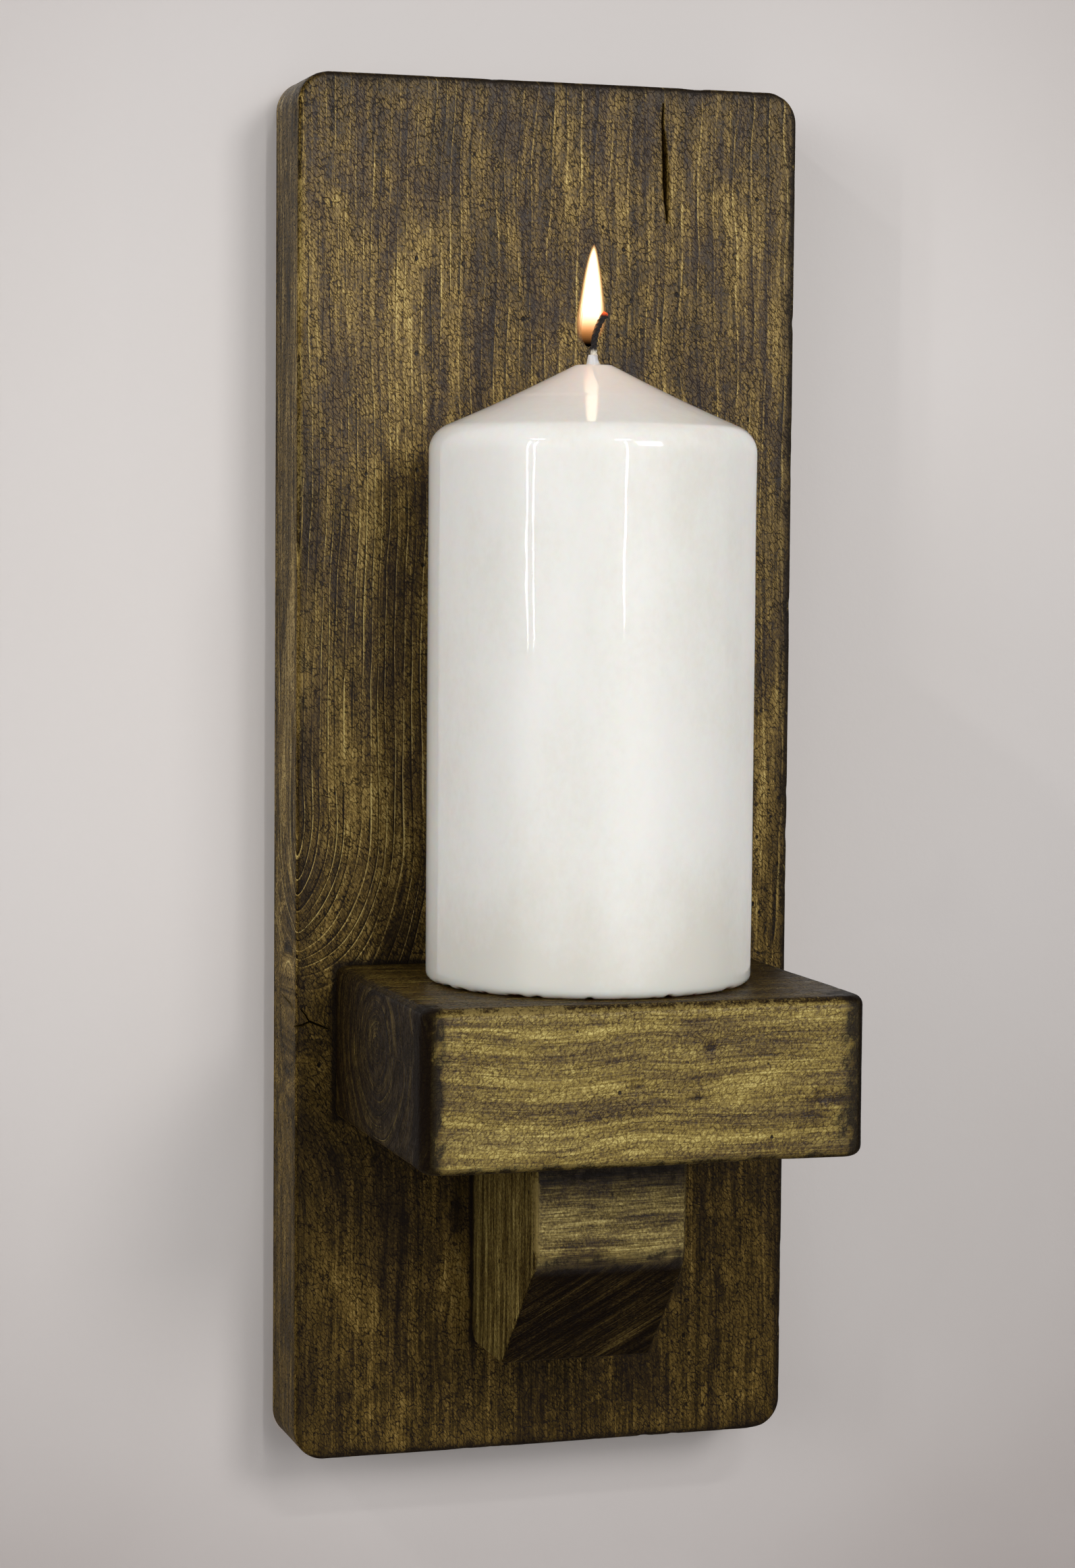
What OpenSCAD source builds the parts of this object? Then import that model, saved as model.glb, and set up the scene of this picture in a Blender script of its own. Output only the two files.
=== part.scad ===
// Wall sconce for one pillar candle: a plank with a block shelf on a sawn corbel.
// +Z is up, the front faces -Y and the back lies on the wall at Y = 0.
// The origin is the centre of the hanger's keyhole entry, in the plane of the back.

/* [Backboard] */
// Width of the plank
board_w = 132; // [120:1:160]
// Height of the plank
board_h = 350; // [320:1:420]
// Thickness of the plank
board_t = 25; // [22:1:32]
// Radius of the plank's four corners
board_corner_r = 8; // [4:0.5:12]
// Rounding of the plank's front arris
board_edge_r = 1.8; // [0.8:0.1:3]
// Length of the drying split near the top
split_len = 30; // [15:1:50]
// Widest opening of the split
split_w = 1.5; // [0.8:0.1:2.5]
// Depth of the split from the front face
split_deep = 6; // [3:0.5:10]
// Distance from the middle of the plank to the split
split_x = 30; // [22:1:45]
// Distance from the top of the plank down to the split
split_drop = 4.5; // [4:0.5:12]

/* [Shelf] */
// Width of the shelf block
shelf_w = 110; // [96:1:130]
// Depth of the shelf block, front to back
shelf_d = 86; // [84:1:110]
// Thickness of the shelf block
shelf_t = 39; // [30:1:48]
// Distance from the top of the plank down to the candle's seat
shelf_drop = 223; // [200:1:245]
// Offset of the block from the plank's middle
shelf_x = -1; // [-3:0.5:3]
// Radius of the block's vertical corners
shelf_corner_r = 6; // [4:0.5:12]
// Rounding of the block's other edges
shelf_edge_r = 2.6; // [1:0.1:3.5]

/* [Corbel] */
// Width of the corbel
corbel_w = 39; // [30:1:60]
// Depth of the corbel under the shelf
corbel_d = 55; // [48:1:75]
// Height of the corbel
corbel_h = 59; // [50:1:75]
// Height of its upright front face, before the blend
corbel_face_h = 29; // [20:1:34]
// Depth of its flat foot
corbel_foot_d = 27; // [20:1:34]
// Radius of the blend from the face to the slope
corbel_blend_r = 13; // [6:1:16]
// Rounding of its upright front arrises
corbel_edge_r = 1.4; // [0.6:0.1:3]
// Rounding of its lower back edge
corbel_heel_r = 5; // [2:0.5:8]

/* [Candle] */
// Diameter of the candle
candle_d = 80; // [70:1:80]
// Height of the wax
candle_h = 150; // [100:5:180]
// Rise of the conical top
candle_cone_h = 17; // [8:1:24]
// Diameter of the flat at the tip of the cone
candle_tip_d = 9; // [6:0.5:14]
// Rounding of the shoulder
candle_shoulder_r = 7; // [3:0.5:10]
// Rounding at the candle's foot, drawn as a small chamfer
candle_foot_c = 0.8; // [0.4:0.1:2]
// Offset of the candle from the plank's middle
candle_x = -2; // [-6:0.5:6]
// Gap between the candle and the plank
candle_gap = 0.3; // [0.3:0.1:3]
// Diameter of the wick
wick_d = 1.8; // [1.4:0.1:2.4]
// Straight length of the wick above the wax
wick_straight = 4; // [2:0.5:6]
// Radius of the burnt wick's bend
wick_bend_r = 13; // [8:0.5:20]
// Angle through which the burnt wick bends
wick_bend_a = 40; // [15:1:70]

/* [Hanger] */
// Distance from the top of the plank down to the keyhole entry
hanger_drop = 45; // [40:1:60]
// Width of the hanger plate
plate_w = 16; // [15:0.5:20]
// Length of the hanger plate
plate_l = 50; // [46:1:56]
// Thickness of the hanger plate
plate_t = 2; // [1.5:0.1:2.5]
// Diameter of the keyhole entry
entry_d = 9; // [8:0.5:10]
// Width of the keyhole slot
slot_w = 4.6; // [4.4:0.1:5]
// Travel from the entry to the end of the slot
slot_l = 10; // [8:0.5:12]
// Width of the pocket behind the plate, where the wall screw's head runs
pocket_w = 14; // [12:0.5:14]
// Length of the pocket
pocket_l = 28; // [26:1:30]
// Depth of the pocket behind the plate
pocket_deep = 8; // [5:0.5:10]

/* [Screws] */
// Thread diameter of the long screws
long_screw_d = 5; // [4:0.5:6]
// Length of the shelf screws
shelf_screw_l = 70; // [50:5:80]
// Spacing of the two shelf screws
shelf_screw_gap = 64; // [56:2:76]
// Length of the corbel screws
corbel_screw_l = 60; // [50:5:65]
// Spacing of the two corbel screws
corbel_screw_gap = 24; // [16:1:28]
// Thread diameter of the hanger's screws
short_screw_d = 3.5; // [3:0.5:4]
// Length of the hanger's screws
short_screw_l = 16; // [12:1:16]
// Spacing of the hanger's screws
plate_screw_gap = 38; // [36:1:40]

/* [Hidden] */
$fn = 96;

fit = 0.05;          // radial clearance round a screw in its hole
cut = 1;             // how far a cutter runs past a face
head_sink = 0.3;     // how far a long screw's head lies under the back
arris_lead = 0.02;   // the corbel's plan outline is this far ahead of its face
thread_depth = 0.15; // depth of the thread, as a share of its diameter
board_top = hanger_drop;
board_mid = board_top - board_h / 2;
seat_z = board_top - shelf_drop;
shelf_mid = seat_z - shelf_t / 2;
corbel_top = seat_z - shelf_t;
shelf_screw_z = shelf_mid;
corbel_screw_mid = corbel_top - corbel_h / 2 + 3;
plate_mid = (slot_l - 2) / 2;
candle_r = candle_d / 2;
candle_y = -(board_t + candle_gap + candle_r);
tip_r = candle_tip_d / 2;
cone_a = atan(candle_cone_h / (candle_r - tip_r));
shoulder_z = candle_h - candle_cone_h - candle_shoulder_r * tan((90 - cone_a) / 2);
slope_a = atan((corbel_h - corbel_face_h) / (corbel_d - corbel_foot_d));
board_wood = [0.36, 0.29, 0.15];
shelf_wood = [0.52, 0.43, 0.22];
corbel_wood = [0.45, 0.37, 0.19];

// A rectangle centred on the origin with four round corners.
module soft_rect(w, h, r) {
    square([w - 2 * r, h], center = true);
    square([w, h - 2 * r], center = true);
    for (x = [-1, 1], y = [-1, 1])
        translate([x * (w / 2 - r), y * (h / 2 - r)]) circle(r);
}

// A slab w by d by t, centred on the origin, with round corners and every edge eased.
module soft_slab(w, d, t, corner_r, edge_r) {
    rotate([90, 0, 0])
        linear_extrude(d - 2 * corner_r, center = true) soft_rect(w, t, edge_r);
    rotate([90, 0, 90])
        linear_extrude(w - 2 * corner_r, center = true) soft_rect(d, t, edge_r);
    for (x = [-1, 1], y = [-1, 1])
        translate([x * (w / 2 - corner_r), y * (d / 2 - corner_r), 0])
            rotate_extrude()
                intersection() {
                    soft_rect(2 * corner_r, t, edge_r);
                    translate([0, -t / 2]) square([corner_r, t]);
                }
}

// A countersunk wood screw: its head is flush with Y = 0 and its point is at Y = -len.
// The thread is drawn as rings.
module wood_screw(d, len) {
    crest = d / 2;
    root = crest - thread_depth * d;
    head_r = d * 0.95;
    head_h = head_r - root;
    plain = len * 0.35;
    point = d * 1.1;
    pitch = d * 0.45;
    turns = floor((len - plain - point) / pitch);
    rings = [for (i = [0:turns - 1], k = [0, 1])
        [k == 0 ? root : crest, plain + (i + k / 2) * pitch]];
    difference() {
        rotate([90, 0, 0])
            rotate_extrude()
                polygon(concat(
                    [[0, 0], [head_r, 0], [head_r, 0.3], [root, head_h]],
                    rings,
                    [[root, plain + turns * pitch], [root, len - point], [0, len]]));
        for (a = [0, 90])
            rotate([0, a, 0])
                linear_extrude(d * 0.2, center = true)
                    polygon([[-d * 0.42, cut], [d * 0.42, cut], [d * 0.42, 0],
                        [d * 0.12, -d * 0.45], [-d * 0.12, -d * 0.45], [-d * 0.42, 0]]);
    }
}

// The hole that a long screw leaves: a countersunk clearance hole, then its thread's path.
module screw_hole(d, len) {
    head_r = d * 0.95;
    root = d / 2 - thread_depth * d;
    rotate([90, 0, 0]) {
        translate([0, 0, -cut]) cylinder(h = cut + 0.3, r = head_r + fit);
        translate([0, 0, 0.3])
            cylinder(h = head_r - root - 0.3, r1 = head_r + fit, r2 = root + fit);
        cylinder(h = len + cut, r = d / 2 + fit);
    }
}

module shelf_screw_at(side)
    translate([shelf_x + side * shelf_screw_gap / 2, -head_sink, shelf_screw_z]) children();

module corbel_screw_at(side)
    translate([0, -head_sink, corbel_screw_mid + side * corbel_screw_gap / 2]) children();

module plate_screw_at(side)
    translate([0, 0, plate_mid + side * plate_screw_gap / 2]) children();

// An upright slot with round ends round the plate's middle, from the back face inwards.
module plate_slot(w, l, deep)
    translate([0, 0, plate_mid]) rotate([90, 0, 0])
        linear_extrude(deep) soft_rect(w, l, w / 2 - 0.01);

// The cut for the slot that runs up from the keyhole's entry.
module keyhole_slot()
    translate([0, -plate_t - cut, 0]) {
        translate([-slot_w / 2, 0, 0]) cube([slot_w, plate_t + 2 * cut, slot_l]);
        translate([0, plate_t + 2 * cut, slot_l]) rotate([90, 0, 0])
            cylinder(h = plate_t + 2 * cut, r = slot_w / 2);
    }

// The drying split, a slim slit that is widest above its middle.
module split_cut()
    translate([split_x, -board_t - cut, board_top - split_drop - split_len])
        rotate([90, 0, 0])
            translate([0, 0, -split_deep - cut])
                linear_extrude(split_deep + cut)
                    polygon([[0.4, 0], [split_w * 0.55, split_len * 0.45],
                        [split_w * 0.2, split_len * 0.75], [-0.6, split_len],
                        [-split_w * 0.45, split_len * 0.6], [-0.1, split_len * 0.2]]);

module backboard() {
    color(board_wood)
    difference() {
        intersection() {
            translate([0, -board_t / 2 + board_edge_r / 2, board_mid])
                rotate([90, 0, 0])
                    soft_slab(board_w, board_h, board_t + board_edge_r,
                        board_corner_r, board_edge_r);
            translate([-board_w, -2 * board_t, board_mid - board_h])
                cube([2 * board_w, 2 * board_t, 2 * board_h]);
        }
        split_cut();
        translate([0, cut, 0])
            plate_slot(plate_w + 2 * fit, plate_l + 2 * fit, plate_t + fit + cut);
        plate_slot(pocket_w, pocket_l, plate_t + pocket_deep);
        for (side = [-1, 1]) {
            shelf_screw_at(side) screw_hole(long_screw_d, board_t + cut);
            corbel_screw_at(side) screw_hole(long_screw_d, board_t + cut);
            plate_screw_at(side) rotate([90, 0, 0])
                cylinder(h = short_screw_l + fit, r = short_screw_d / 2 + fit);
        }
    }
}

module shelf() {
    color(shelf_wood)
    difference() {
        intersection() {
            translate([shelf_x, -board_t - shelf_d / 2 + shelf_corner_r / 2, shelf_mid])
                soft_slab(shelf_w, shelf_d + shelf_corner_r, shelf_t,
                    shelf_corner_r, shelf_edge_r);
            translate([-shelf_w, -board_t - 2 * shelf_d, shelf_mid - shelf_t])
                cube([2 * shelf_w, 2 * shelf_d, 2 * shelf_t]);
        }
        for (side = [-1, 1])
            shelf_screw_at(side) rotate([90, 0, 0])
                cylinder(h = shelf_screw_l + fit, r = long_screw_d / 2 + fit);
    }
}

// What rounding takes off a convex corner at the origin, whose sides run along the
// directions a and b: the corner itself, less a circle of radius r that touches both.
module corner_waste(r, a, b) {
    half = abs(b - a) / 2;
    touch = r / tan(half);
    middle = (a + b) / 2;
    difference() {
        polygon([
            [touch * cos(a), touch * sin(a)],
            [-cos(middle), -sin(middle)],
            [touch * cos(b), touch * sin(b)]
        ]);
        translate([r / sin(half) * cos(middle), r / sin(half) * sin(middle)]) circle(r);
    }
}

// The corbel's side view, with the front along +X of the sketch and Z upwards.
module corbel_side()
    difference() {
        polygon([
            [0, 0],
            [corbel_d, 0],
            [corbel_d, -corbel_face_h],
            [corbel_foot_d, -corbel_h],
            [0, -corbel_h]
        ]);
        translate([corbel_d, -corbel_face_h]) corner_waste(corbel_blend_r, 90, 180 + slope_a);
        translate([0, -corbel_h]) corner_waste(corbel_heel_r, 0, 90);
    }

module corbel() {
    color(corbel_wood)
    difference() {
        intersection() {
            translate([-corbel_w / 2, -board_t, corbel_top])
                rotate([90, 0, -90])
                    mirror([0, 0, 1])
                        linear_extrude(corbel_w) corbel_side();
            translate([0, -board_t - corbel_d / 2, corbel_top - corbel_h - cut])
                linear_extrude(corbel_h + 2 * cut)
                    soft_rect(corbel_w, corbel_d + 2 * arris_lead, corbel_edge_r);
        }
        for (side = [-1, 1])
            corbel_screw_at(side) rotate([90, 0, 0])
                cylinder(h = corbel_screw_l + fit, r = long_screw_d / 2 + fit);
    }
}

module shelf_screw(side)
    color("silver") shelf_screw_at(side) wood_screw(long_screw_d, shelf_screw_l);

module corbel_screw(side)
    color("silver") corbel_screw_at(side) wood_screw(long_screw_d, corbel_screw_l);

module hanger_screw(side)
    color("silver") plate_screw_at(side) wood_screw(short_screw_d, short_screw_l);

module hanger_plate() {
    color("lightsteelblue")
    difference() {
        plate_slot(plate_w, plate_l, plate_t);
        translate([0, cut, 0]) rotate([90, 0, 0])
            cylinder(h = plate_t + 2 * cut, r = entry_d / 2);
        keyhole_slot();
        for (side = [-1, 1])
            plate_screw_at(side) screw_hole(short_screw_d, plate_t + cut);
    }
}

module candle_wax() {
    lean = [sin(cone_a), cos(cone_a)];
    color("ivory")
    translate([candle_x, candle_y, seat_z])
    difference() {
        union() {
            rotate_extrude() {
                polygon([
                    [0, 0],
                    [candle_r - candle_foot_c, 0],
                    [candle_r, candle_foot_c],
                    [candle_r, shoulder_z],
                    [candle_r - candle_shoulder_r + candle_shoulder_r * lean[0],
                        shoulder_z + candle_shoulder_r * lean[1]],
                    [tip_r, candle_h],
                    [0, candle_h]
                ]);
                translate([candle_r - candle_shoulder_r, shoulder_z])
                    circle(candle_shoulder_r);
            }
            translate([0, 0, candle_h])
                cylinder(h = wick_d * 1.3, r1 = wick_d * 0.8, r2 = wick_d * 0.55);
        }
        translate([0, 0, -cut]) cylinder(h = candle_h + 2 * cut + 2 * wick_d, r = wick_d / 2);
    }
}

module wick() {
    color([0.12, 0.1, 0.09])
    translate([candle_x, candle_y, seat_z]) {
        cylinder(h = candle_h + wick_straight, r = wick_d / 2);
        translate([wick_bend_r, 0, candle_h + wick_straight])
            rotate([90, 0, 180])
                rotate_extrude(angle = wick_bend_a)
                    translate([wick_bend_r, 0]) circle(wick_d / 2);
    }
}

backboard();
shelf();
corbel();
shelf_screw(-1);  // shelf_screw_left
shelf_screw(1);  // shelf_screw_right
corbel_screw(1);  // corbel_screw_upper
corbel_screw(-1);  // corbel_screw_lower
hanger_plate();
hanger_screw(1);  // hanger_screw_upper
hanger_screw(-1);  // hanger_screw_lower
candle_wax();
wick();
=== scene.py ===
"""Wall sconce with a pillar candle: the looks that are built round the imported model.

Lengths are metres in the model's own frame, apart from the finish and grain rules, which work in mm.
"""
import itertools
import math
from collections import namedtuple

import bmesh
import bpy
import numpy as np
from mathutils import Matrix, Vector


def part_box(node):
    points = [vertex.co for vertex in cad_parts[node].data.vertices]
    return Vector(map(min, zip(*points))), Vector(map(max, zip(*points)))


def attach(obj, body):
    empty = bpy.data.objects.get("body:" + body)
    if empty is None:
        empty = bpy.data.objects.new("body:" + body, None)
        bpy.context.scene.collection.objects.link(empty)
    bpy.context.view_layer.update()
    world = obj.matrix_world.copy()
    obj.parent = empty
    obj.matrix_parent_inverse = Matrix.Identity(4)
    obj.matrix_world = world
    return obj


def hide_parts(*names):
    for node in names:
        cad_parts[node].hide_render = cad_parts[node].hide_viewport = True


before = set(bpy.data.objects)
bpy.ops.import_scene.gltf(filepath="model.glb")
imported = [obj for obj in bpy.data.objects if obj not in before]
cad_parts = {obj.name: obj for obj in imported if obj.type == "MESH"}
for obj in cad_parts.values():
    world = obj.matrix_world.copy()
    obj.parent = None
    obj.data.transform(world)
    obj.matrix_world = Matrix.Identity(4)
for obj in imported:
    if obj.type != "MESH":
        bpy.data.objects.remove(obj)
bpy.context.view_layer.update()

MM = 0.001
PLAY = 0.05 * MM  # gap round everything that is let into the wood
HEAD_TO_SHANK = 1.9
BOARD_LOW, BOARD_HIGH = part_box("backboard")
SHELF_LOW, SHELF_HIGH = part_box("shelf")
CORBEL_LOW, CORBEL_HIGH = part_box("corbel")
PLATE_LOW, PLATE_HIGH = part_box("hanger_plate")
WAX_LOW, WAX_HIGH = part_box("candle_wax")
WICK_LOW, WICK_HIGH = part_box("wick")
LONG_SCREWS = ("shelf_screw_left", "shelf_screw_right", "corbel_screw_upper", "corbel_screw_lower")
SHORT_SCREWS = ("hanger_screw_upper", "hanger_screw_lower")
Sides = namedtuple("Sides", "left right front back bottom top")


def box_sides(low, high):
    """A box's six sides in mm."""
    ends = (low.x, high.x, low.y, high.y, low.z, high.z)
    return Sides(*(round(end / MM, 1) for end in ends))


BOARD = box_sides(BOARD_LOW, BOARD_HIGH)
SHELF = box_sides(SHELF_LOW, SHELF_HIGH)
CORBEL = box_sides(CORBEL_LOW, CORBEL_HIGH)


# ---------------------------------------------------------------- numbers and noise

def smooth(value, low, high):
    """0 at low, 1 at high, and an eased step between them."""
    t = np.clip((value - low) / (high - low), 0, 1)
    return t * t * (3 - 2 * t)


def bell(value, width):
    """1 at value 0, falling to nearly 0 at twice the width to either side."""
    return np.exp(-(value / width) ** 2)


def fade(distance, reach):
    """1 up to distance 0, then falling to a third at each reach."""
    return np.exp(-np.maximum(distance, 0) / reach)


def strongest(*layers):
    return np.maximum.reduce(np.broadcast_arrays(*layers))


def spots(x, z, rows):
    """The sum of soft spots. A row is (amount, middle in x, reach in x, middle in z, reach in z)."""
    return sum(amount * bell(x - cx, wide) * bell(z - cz, tall) for amount, cx, wide, cz, tall in rows)


def dents(x, z, rows):
    """The depth of round dents. A row is (middle in x, middle in z, size, depth)."""
    return sum(depth * bell(np.hypot(x - cx, z - cz), size) for cx, cz, size, depth in rows)


def mostly(part):
    """1 where this part of the normal is large, 0 where it is small."""
    return smooth(part, 0.5, 0.9)


def columns(*values):
    """One row for each point. A value is an array, or a number for all points."""
    return np.stack(np.broadcast_arrays(*values), 1)


def lattice(points, seed):
    """Smooth noise from -1 to 1 at each point. One unit is one cell."""
    cell = np.floor(points).astype(np.int64)
    share = points - cell
    share = share ** 3 * (share * (share * 6 - 15) + 10)
    total = np.zeros(len(points))
    for corner in itertools.product((0, 1), repeat=3):
        at = cell + corner
        code = at[:, 0] * 73856093 ^ at[:, 1] * 19349663 ^ at[:, 2] * 83492791 ^ seed * 51787
        code = ((code ^ (code >> 13)) * 1274126177) & 0xFFFFFFFF
        value = ((code ^ (code >> 16)) & 0xFFFF) / 32767.5 - 1
        weight = np.where(corner, share, 1 - share).prod(axis=1)
        total += value * weight
    return total


def ripple(points, size, seed):
    """Smooth noise whose cells are size long. size is one length or three, in mm."""
    return lattice(points / np.array(size, float), seed)


def wobble(points, size, seed):
    """As ripple, with a second layer of half the size."""
    cells = points / np.array(size, float)
    return sum(lattice(cells * 2 ** k, seed + k) / 2 ** k for k in range(2)) / 1.5


# ---------------------------------------------------------------- meshes

def add_object(name, points, faces):
    """An object whose mesh has outward normals and smooth faces with crisp arrises."""
    mesh = bpy.data.meshes.new(name)
    mesh.from_pydata([tuple(p) for p in points], [], [tuple(f) for f in faces])
    work = bmesh.new()
    work.from_mesh(mesh)
    bmesh.ops.recalc_face_normals(work, faces=work.faces)
    work.to_mesh(mesh)
    work.free()
    piece = bpy.data.objects.new(name, mesh)
    bpy.context.scene.collection.objects.link(piece)
    return piece


def grid_lines(length, corner, step, fine):
    """Where the grid lines cross a side: its zone (corner, middle, corner) and its share of that zone."""
    lines = []
    for zone, (size, gap) in enumerate(((corner, fine), (length - 2 * corner, step), (corner, fine))):
        count = max(2, round(size / gap))
        lines += [(zone, k / count) for k in range(count)]
    return np.array(lines + [(2, 1.0)])


def place(lines, low, high, corner):
    """The grid lines' positions on a side that runs from low to high."""
    starts = np.array([low, low + corner, high - corner])
    sizes = np.array([corner, high - low - 2 * corner, corner])
    zone = lines[:, 0].astype(int)
    return starts[zone] + sizes[zone] * lines[:, 1]


def round_corners(u, v, outline, radii):
    """Moves the points in each corner's square onto rings round the centre of that corner."""
    u0, u1, v0, v1 = outline
    for side, (v_side, radius) in itertools.product((-1, 1), ((-1, radii[0]), (1, radii[1]))):
        centre_u = u1 - radius if side > 0 else u0 + radius
        centre_v = v1 - radius if v_side > 0 else v0 + radius
        a, b = side * (u - centre_u), v_side * (v - centre_v)
        inside = (a > 0) & (b > 0)
        far = np.where(inside, np.maximum(a, b), 1)
        near = np.where(inside, np.minimum(a, b), 0)
        turn = np.where(a >= b, near / far, 2 - near / far) * math.pi / 4
        u = np.where(inside, centre_u + side * far * np.cos(turn), u)
        v = np.where(inside, centre_v + v_side * far * np.sin(turn), v)
    return u, v


def eased(depth, radius):
    """How far a rounded arris lies inside the face, at this depth under the next face."""
    if depth >= radius:
        return 0.0
    return radius - math.sqrt(radius ** 2 - (radius - depth) ** 2)


def level_depths(thick, first, last, step):
    """Depths of the mesh's levels from the first face to the last, closer round their arrises."""
    turns = [math.pi / 2 * k / 6 for k in range(6)]
    start = [first * (1 - math.cos(t)) for t in turns] if first else [0.0]
    end = [thick - last * (1 - math.cos(t)) for t in reversed(turns)] if last else [thick]
    rows = max(1, round((thick - first - last) / step))
    middle = [first + (thick - first - last) * k / rows for k in range(rows + 1)]
    return start + [d for d in middle if start[-1] < d < end[0]] + end


def rim_of_grid(count_u, count_v):
    """The grid's outermost points in order round it, as indices."""
    rim = [(i, 0) for i in range(count_u - 1)]
    rim += [(count_u - 1, j) for j in range(count_v - 1)]
    rim += [(i, count_v - 1) for i in range(count_u - 1, 0, -1)]
    rim += [(0, j) for j in range(count_v - 1, 0, -1)]
    return np.array([i * count_v + j for i, j in rim])


def grid_faces(base, count_u, count_v):
    """The squares of a grid whose first point is base."""
    starts = [base + i * count_v + j for i in range(count_u - 1) for j in range(count_v - 1)]
    return [(at, at + count_v, at + count_v + 1, at + 1) for at in starts]


def stack(levels, across, along, corner, grid_end=True):
    """A closed mesh of rectangles with round corners. A level is (w, outline, radii at v0 and at v1)."""
    points, faces, loops = [], [], []
    rim_at = rim_of_grid(len(across), len(along))
    for index, (w, outline, radii) in enumerate(levels):
        u, v = np.meshgrid(place(across, outline[0], outline[1], corner),
                           place(along, outline[2], outline[3], corner), indexing="ij")
        u, v = round_corners(u.ravel(), v.ravel(), outline, radii)
        whole = index == 0 or (index == len(levels) - 1 and grid_end)
        chosen = np.arange(len(u)) if whole else rim_at
        base = len(points)
        points += list(zip(u[chosen], v[chosen], np.full(len(chosen), w)))
        loops.append(base + (rim_at if whole else np.arange(len(rim_at))))
        if whole:
            faces += grid_faces(base, len(across), len(along))
    for low, high in zip(loops, loops[1:]):
        faces += list(zip(low, np.roll(low, -1), np.roll(high, -1), high))
    if not grid_end:
        faces.append(tuple(loops[-1]))
    return np.array(points), faces


def revolve(profile, segments, closed=False):
    """The mesh of a profile of (radius, height) turned round Z. closed joins its end to its start."""
    points, faces, rows = [], [], []
    for radius, height in profile:
        rows.append(len(points))
        turns = [2 * math.pi * k / segments for k in range(segments)] if radius > 0 else [0.0]
        points += [(radius * math.cos(t), radius * math.sin(t), height) for t in turns]
    pairs = list(zip(range(len(profile)), range(1, len(profile))))
    pairs += [(len(profile) - 1, 0)] if closed else []
    for low, high in pairs:
        # A row on the axis is a single point, which all segments share.
        wide_low, wide_high = int(profile[low][0] > 0), int(profile[high][0] > 0)
        for k in range(segments):
            step = (k + 1) % segments
            corners = (rows[low] + k * wide_low, rows[low] + step * wide_low,
                       rows[high] + step * wide_high, rows[high] + k * wide_high)
            faces.append(tuple(dict.fromkeys(corners)))
    return np.array(points), faces


def drill(piece, cutters):
    """Cuts the cutters out of the piece and removes them."""
    for cutter in cutters:
        cut = piece.modifiers.new(cutter.name, "BOOLEAN")
        cut.operation = "DIFFERENCE"
        cut.solver = "EXACT"
        cut.object = cutter
    bpy.context.view_layer.update()
    shape = piece.evaluated_get(bpy.context.evaluated_depsgraph_get())
    mesh = bpy.data.meshes.new_from_object(shape)
    piece.modifiers.clear()
    piece.data = mesh
    for cutter in cutters:
        bpy.data.objects.remove(cutter)


def each_point(piece, key):
    """The mesh's "co" or "normal" vectors, one row for each point."""
    values = np.empty(len(piece.data.vertices) * 3)
    piece.data.vertices.foreach_get(key, values)
    return values.reshape(-1, 3)


def wear_down(piece, depths):
    """Moves each point inwards along its normal by its own depth, in mm."""
    inwards = each_point(piece, "normal") * np.maximum(depths, 0)[:, None] * MM
    points = each_point(piece, "co") - inwards
    piece.data.vertices.foreach_set("co", points.ravel())
    piece.data.update()


def keep_sheen(piece, n, front, other):
    """How strongly the surface reflects: most on the front, less on top, least elsewhere."""
    shown = np.maximum(smooth(-n[:, 1], 0.75, 0.95), 0.12 * smooth(n[:, 2], 0.3, 0.9))
    keep_values(piece, "sheen", other + (front - other) * shown)


def keep_looks(piece, grain, rings, finish):
    """Stores what the wood material reads: grain in mm, ring values, and dirt, wear and tone, which also
    carry painted shade and painted highlights.
    """
    keep_values(piece, "grain", grain * MM)
    keep_values(piece, "rings", columns(*rings))
    keep_values(piece, "finish", finish)


def keep_values(piece, name, values):
    """Stores a number or a vector for each point, where the materials read it."""
    kind = "FLOAT" if values.ndim == 1 else "FLOAT_VECTOR"
    attribute = piece.data.attributes.new(name, kind, "POINT")
    attribute.data.foreach_set("value" if values.ndim == 1 else "vector", values.astype(np.float32).ravel())


def shade(piece, crisp=35):
    """Smooth shading that stays crisp where faces meet at more than this many degrees."""
    piece.data.polygons.foreach_set("use_smooth", [True] * len(piece.data.polygons))
    piece.data.set_sharp_from_angle(angle=math.radians(crisp))


def tube_faces(count):
    """The faces of a prism whose ends are two rings of count points."""
    faces = [tuple(range(count)), tuple(range(count, 2 * count))]
    return faces + [(k, (k + 1) % count, count + (k + 1) % count, count + k) for k in range(count)]


def hole(name, screw, deep):
    """The cutter for a countersunk screw hole that starts at the screw's head and is deep long."""
    low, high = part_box(screw)
    head = (high.x - low.x) / 2
    shank = head / HEAD_TO_SHANK
    head_r, shank_r = head + PLAY, shank + PLAY
    profile = [(0, -2 * MM), (head_r, -2 * MM), (head_r, 0.3 * MM), (shank_r, head - 0.7 * shank),
               (shank_r, deep), (0, deep)]
    points, faces = revolve(profile, 32)
    cutter = add_object(name, points, faces)
    centre = Vector(((low.x + high.x) / 2, high.y, (low.z + high.z) / 2))
    cutter.matrix_world = Matrix.Translation(centre) @ Matrix.Rotation(math.pi / 2, 4, "X")
    return cutter


def slot_cutter(name, width, low, high, deep):
    """The cutter for an upright slot with round ends, from the back face inwards."""
    radius = width / 2
    arc = [math.pi * k / 16 for k in range(17)]
    outline = [(radius * math.cos(t), high - radius + radius * math.sin(t)) for t in arc]
    outline += [(-radius * math.cos(t), low + radius - radius * math.sin(t)) for t in arc]
    points = [(x, y, z) for y in (2 * MM, -deep) for x, z in outline]
    return add_object(name, points, tube_faces(len(outline)))


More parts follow.
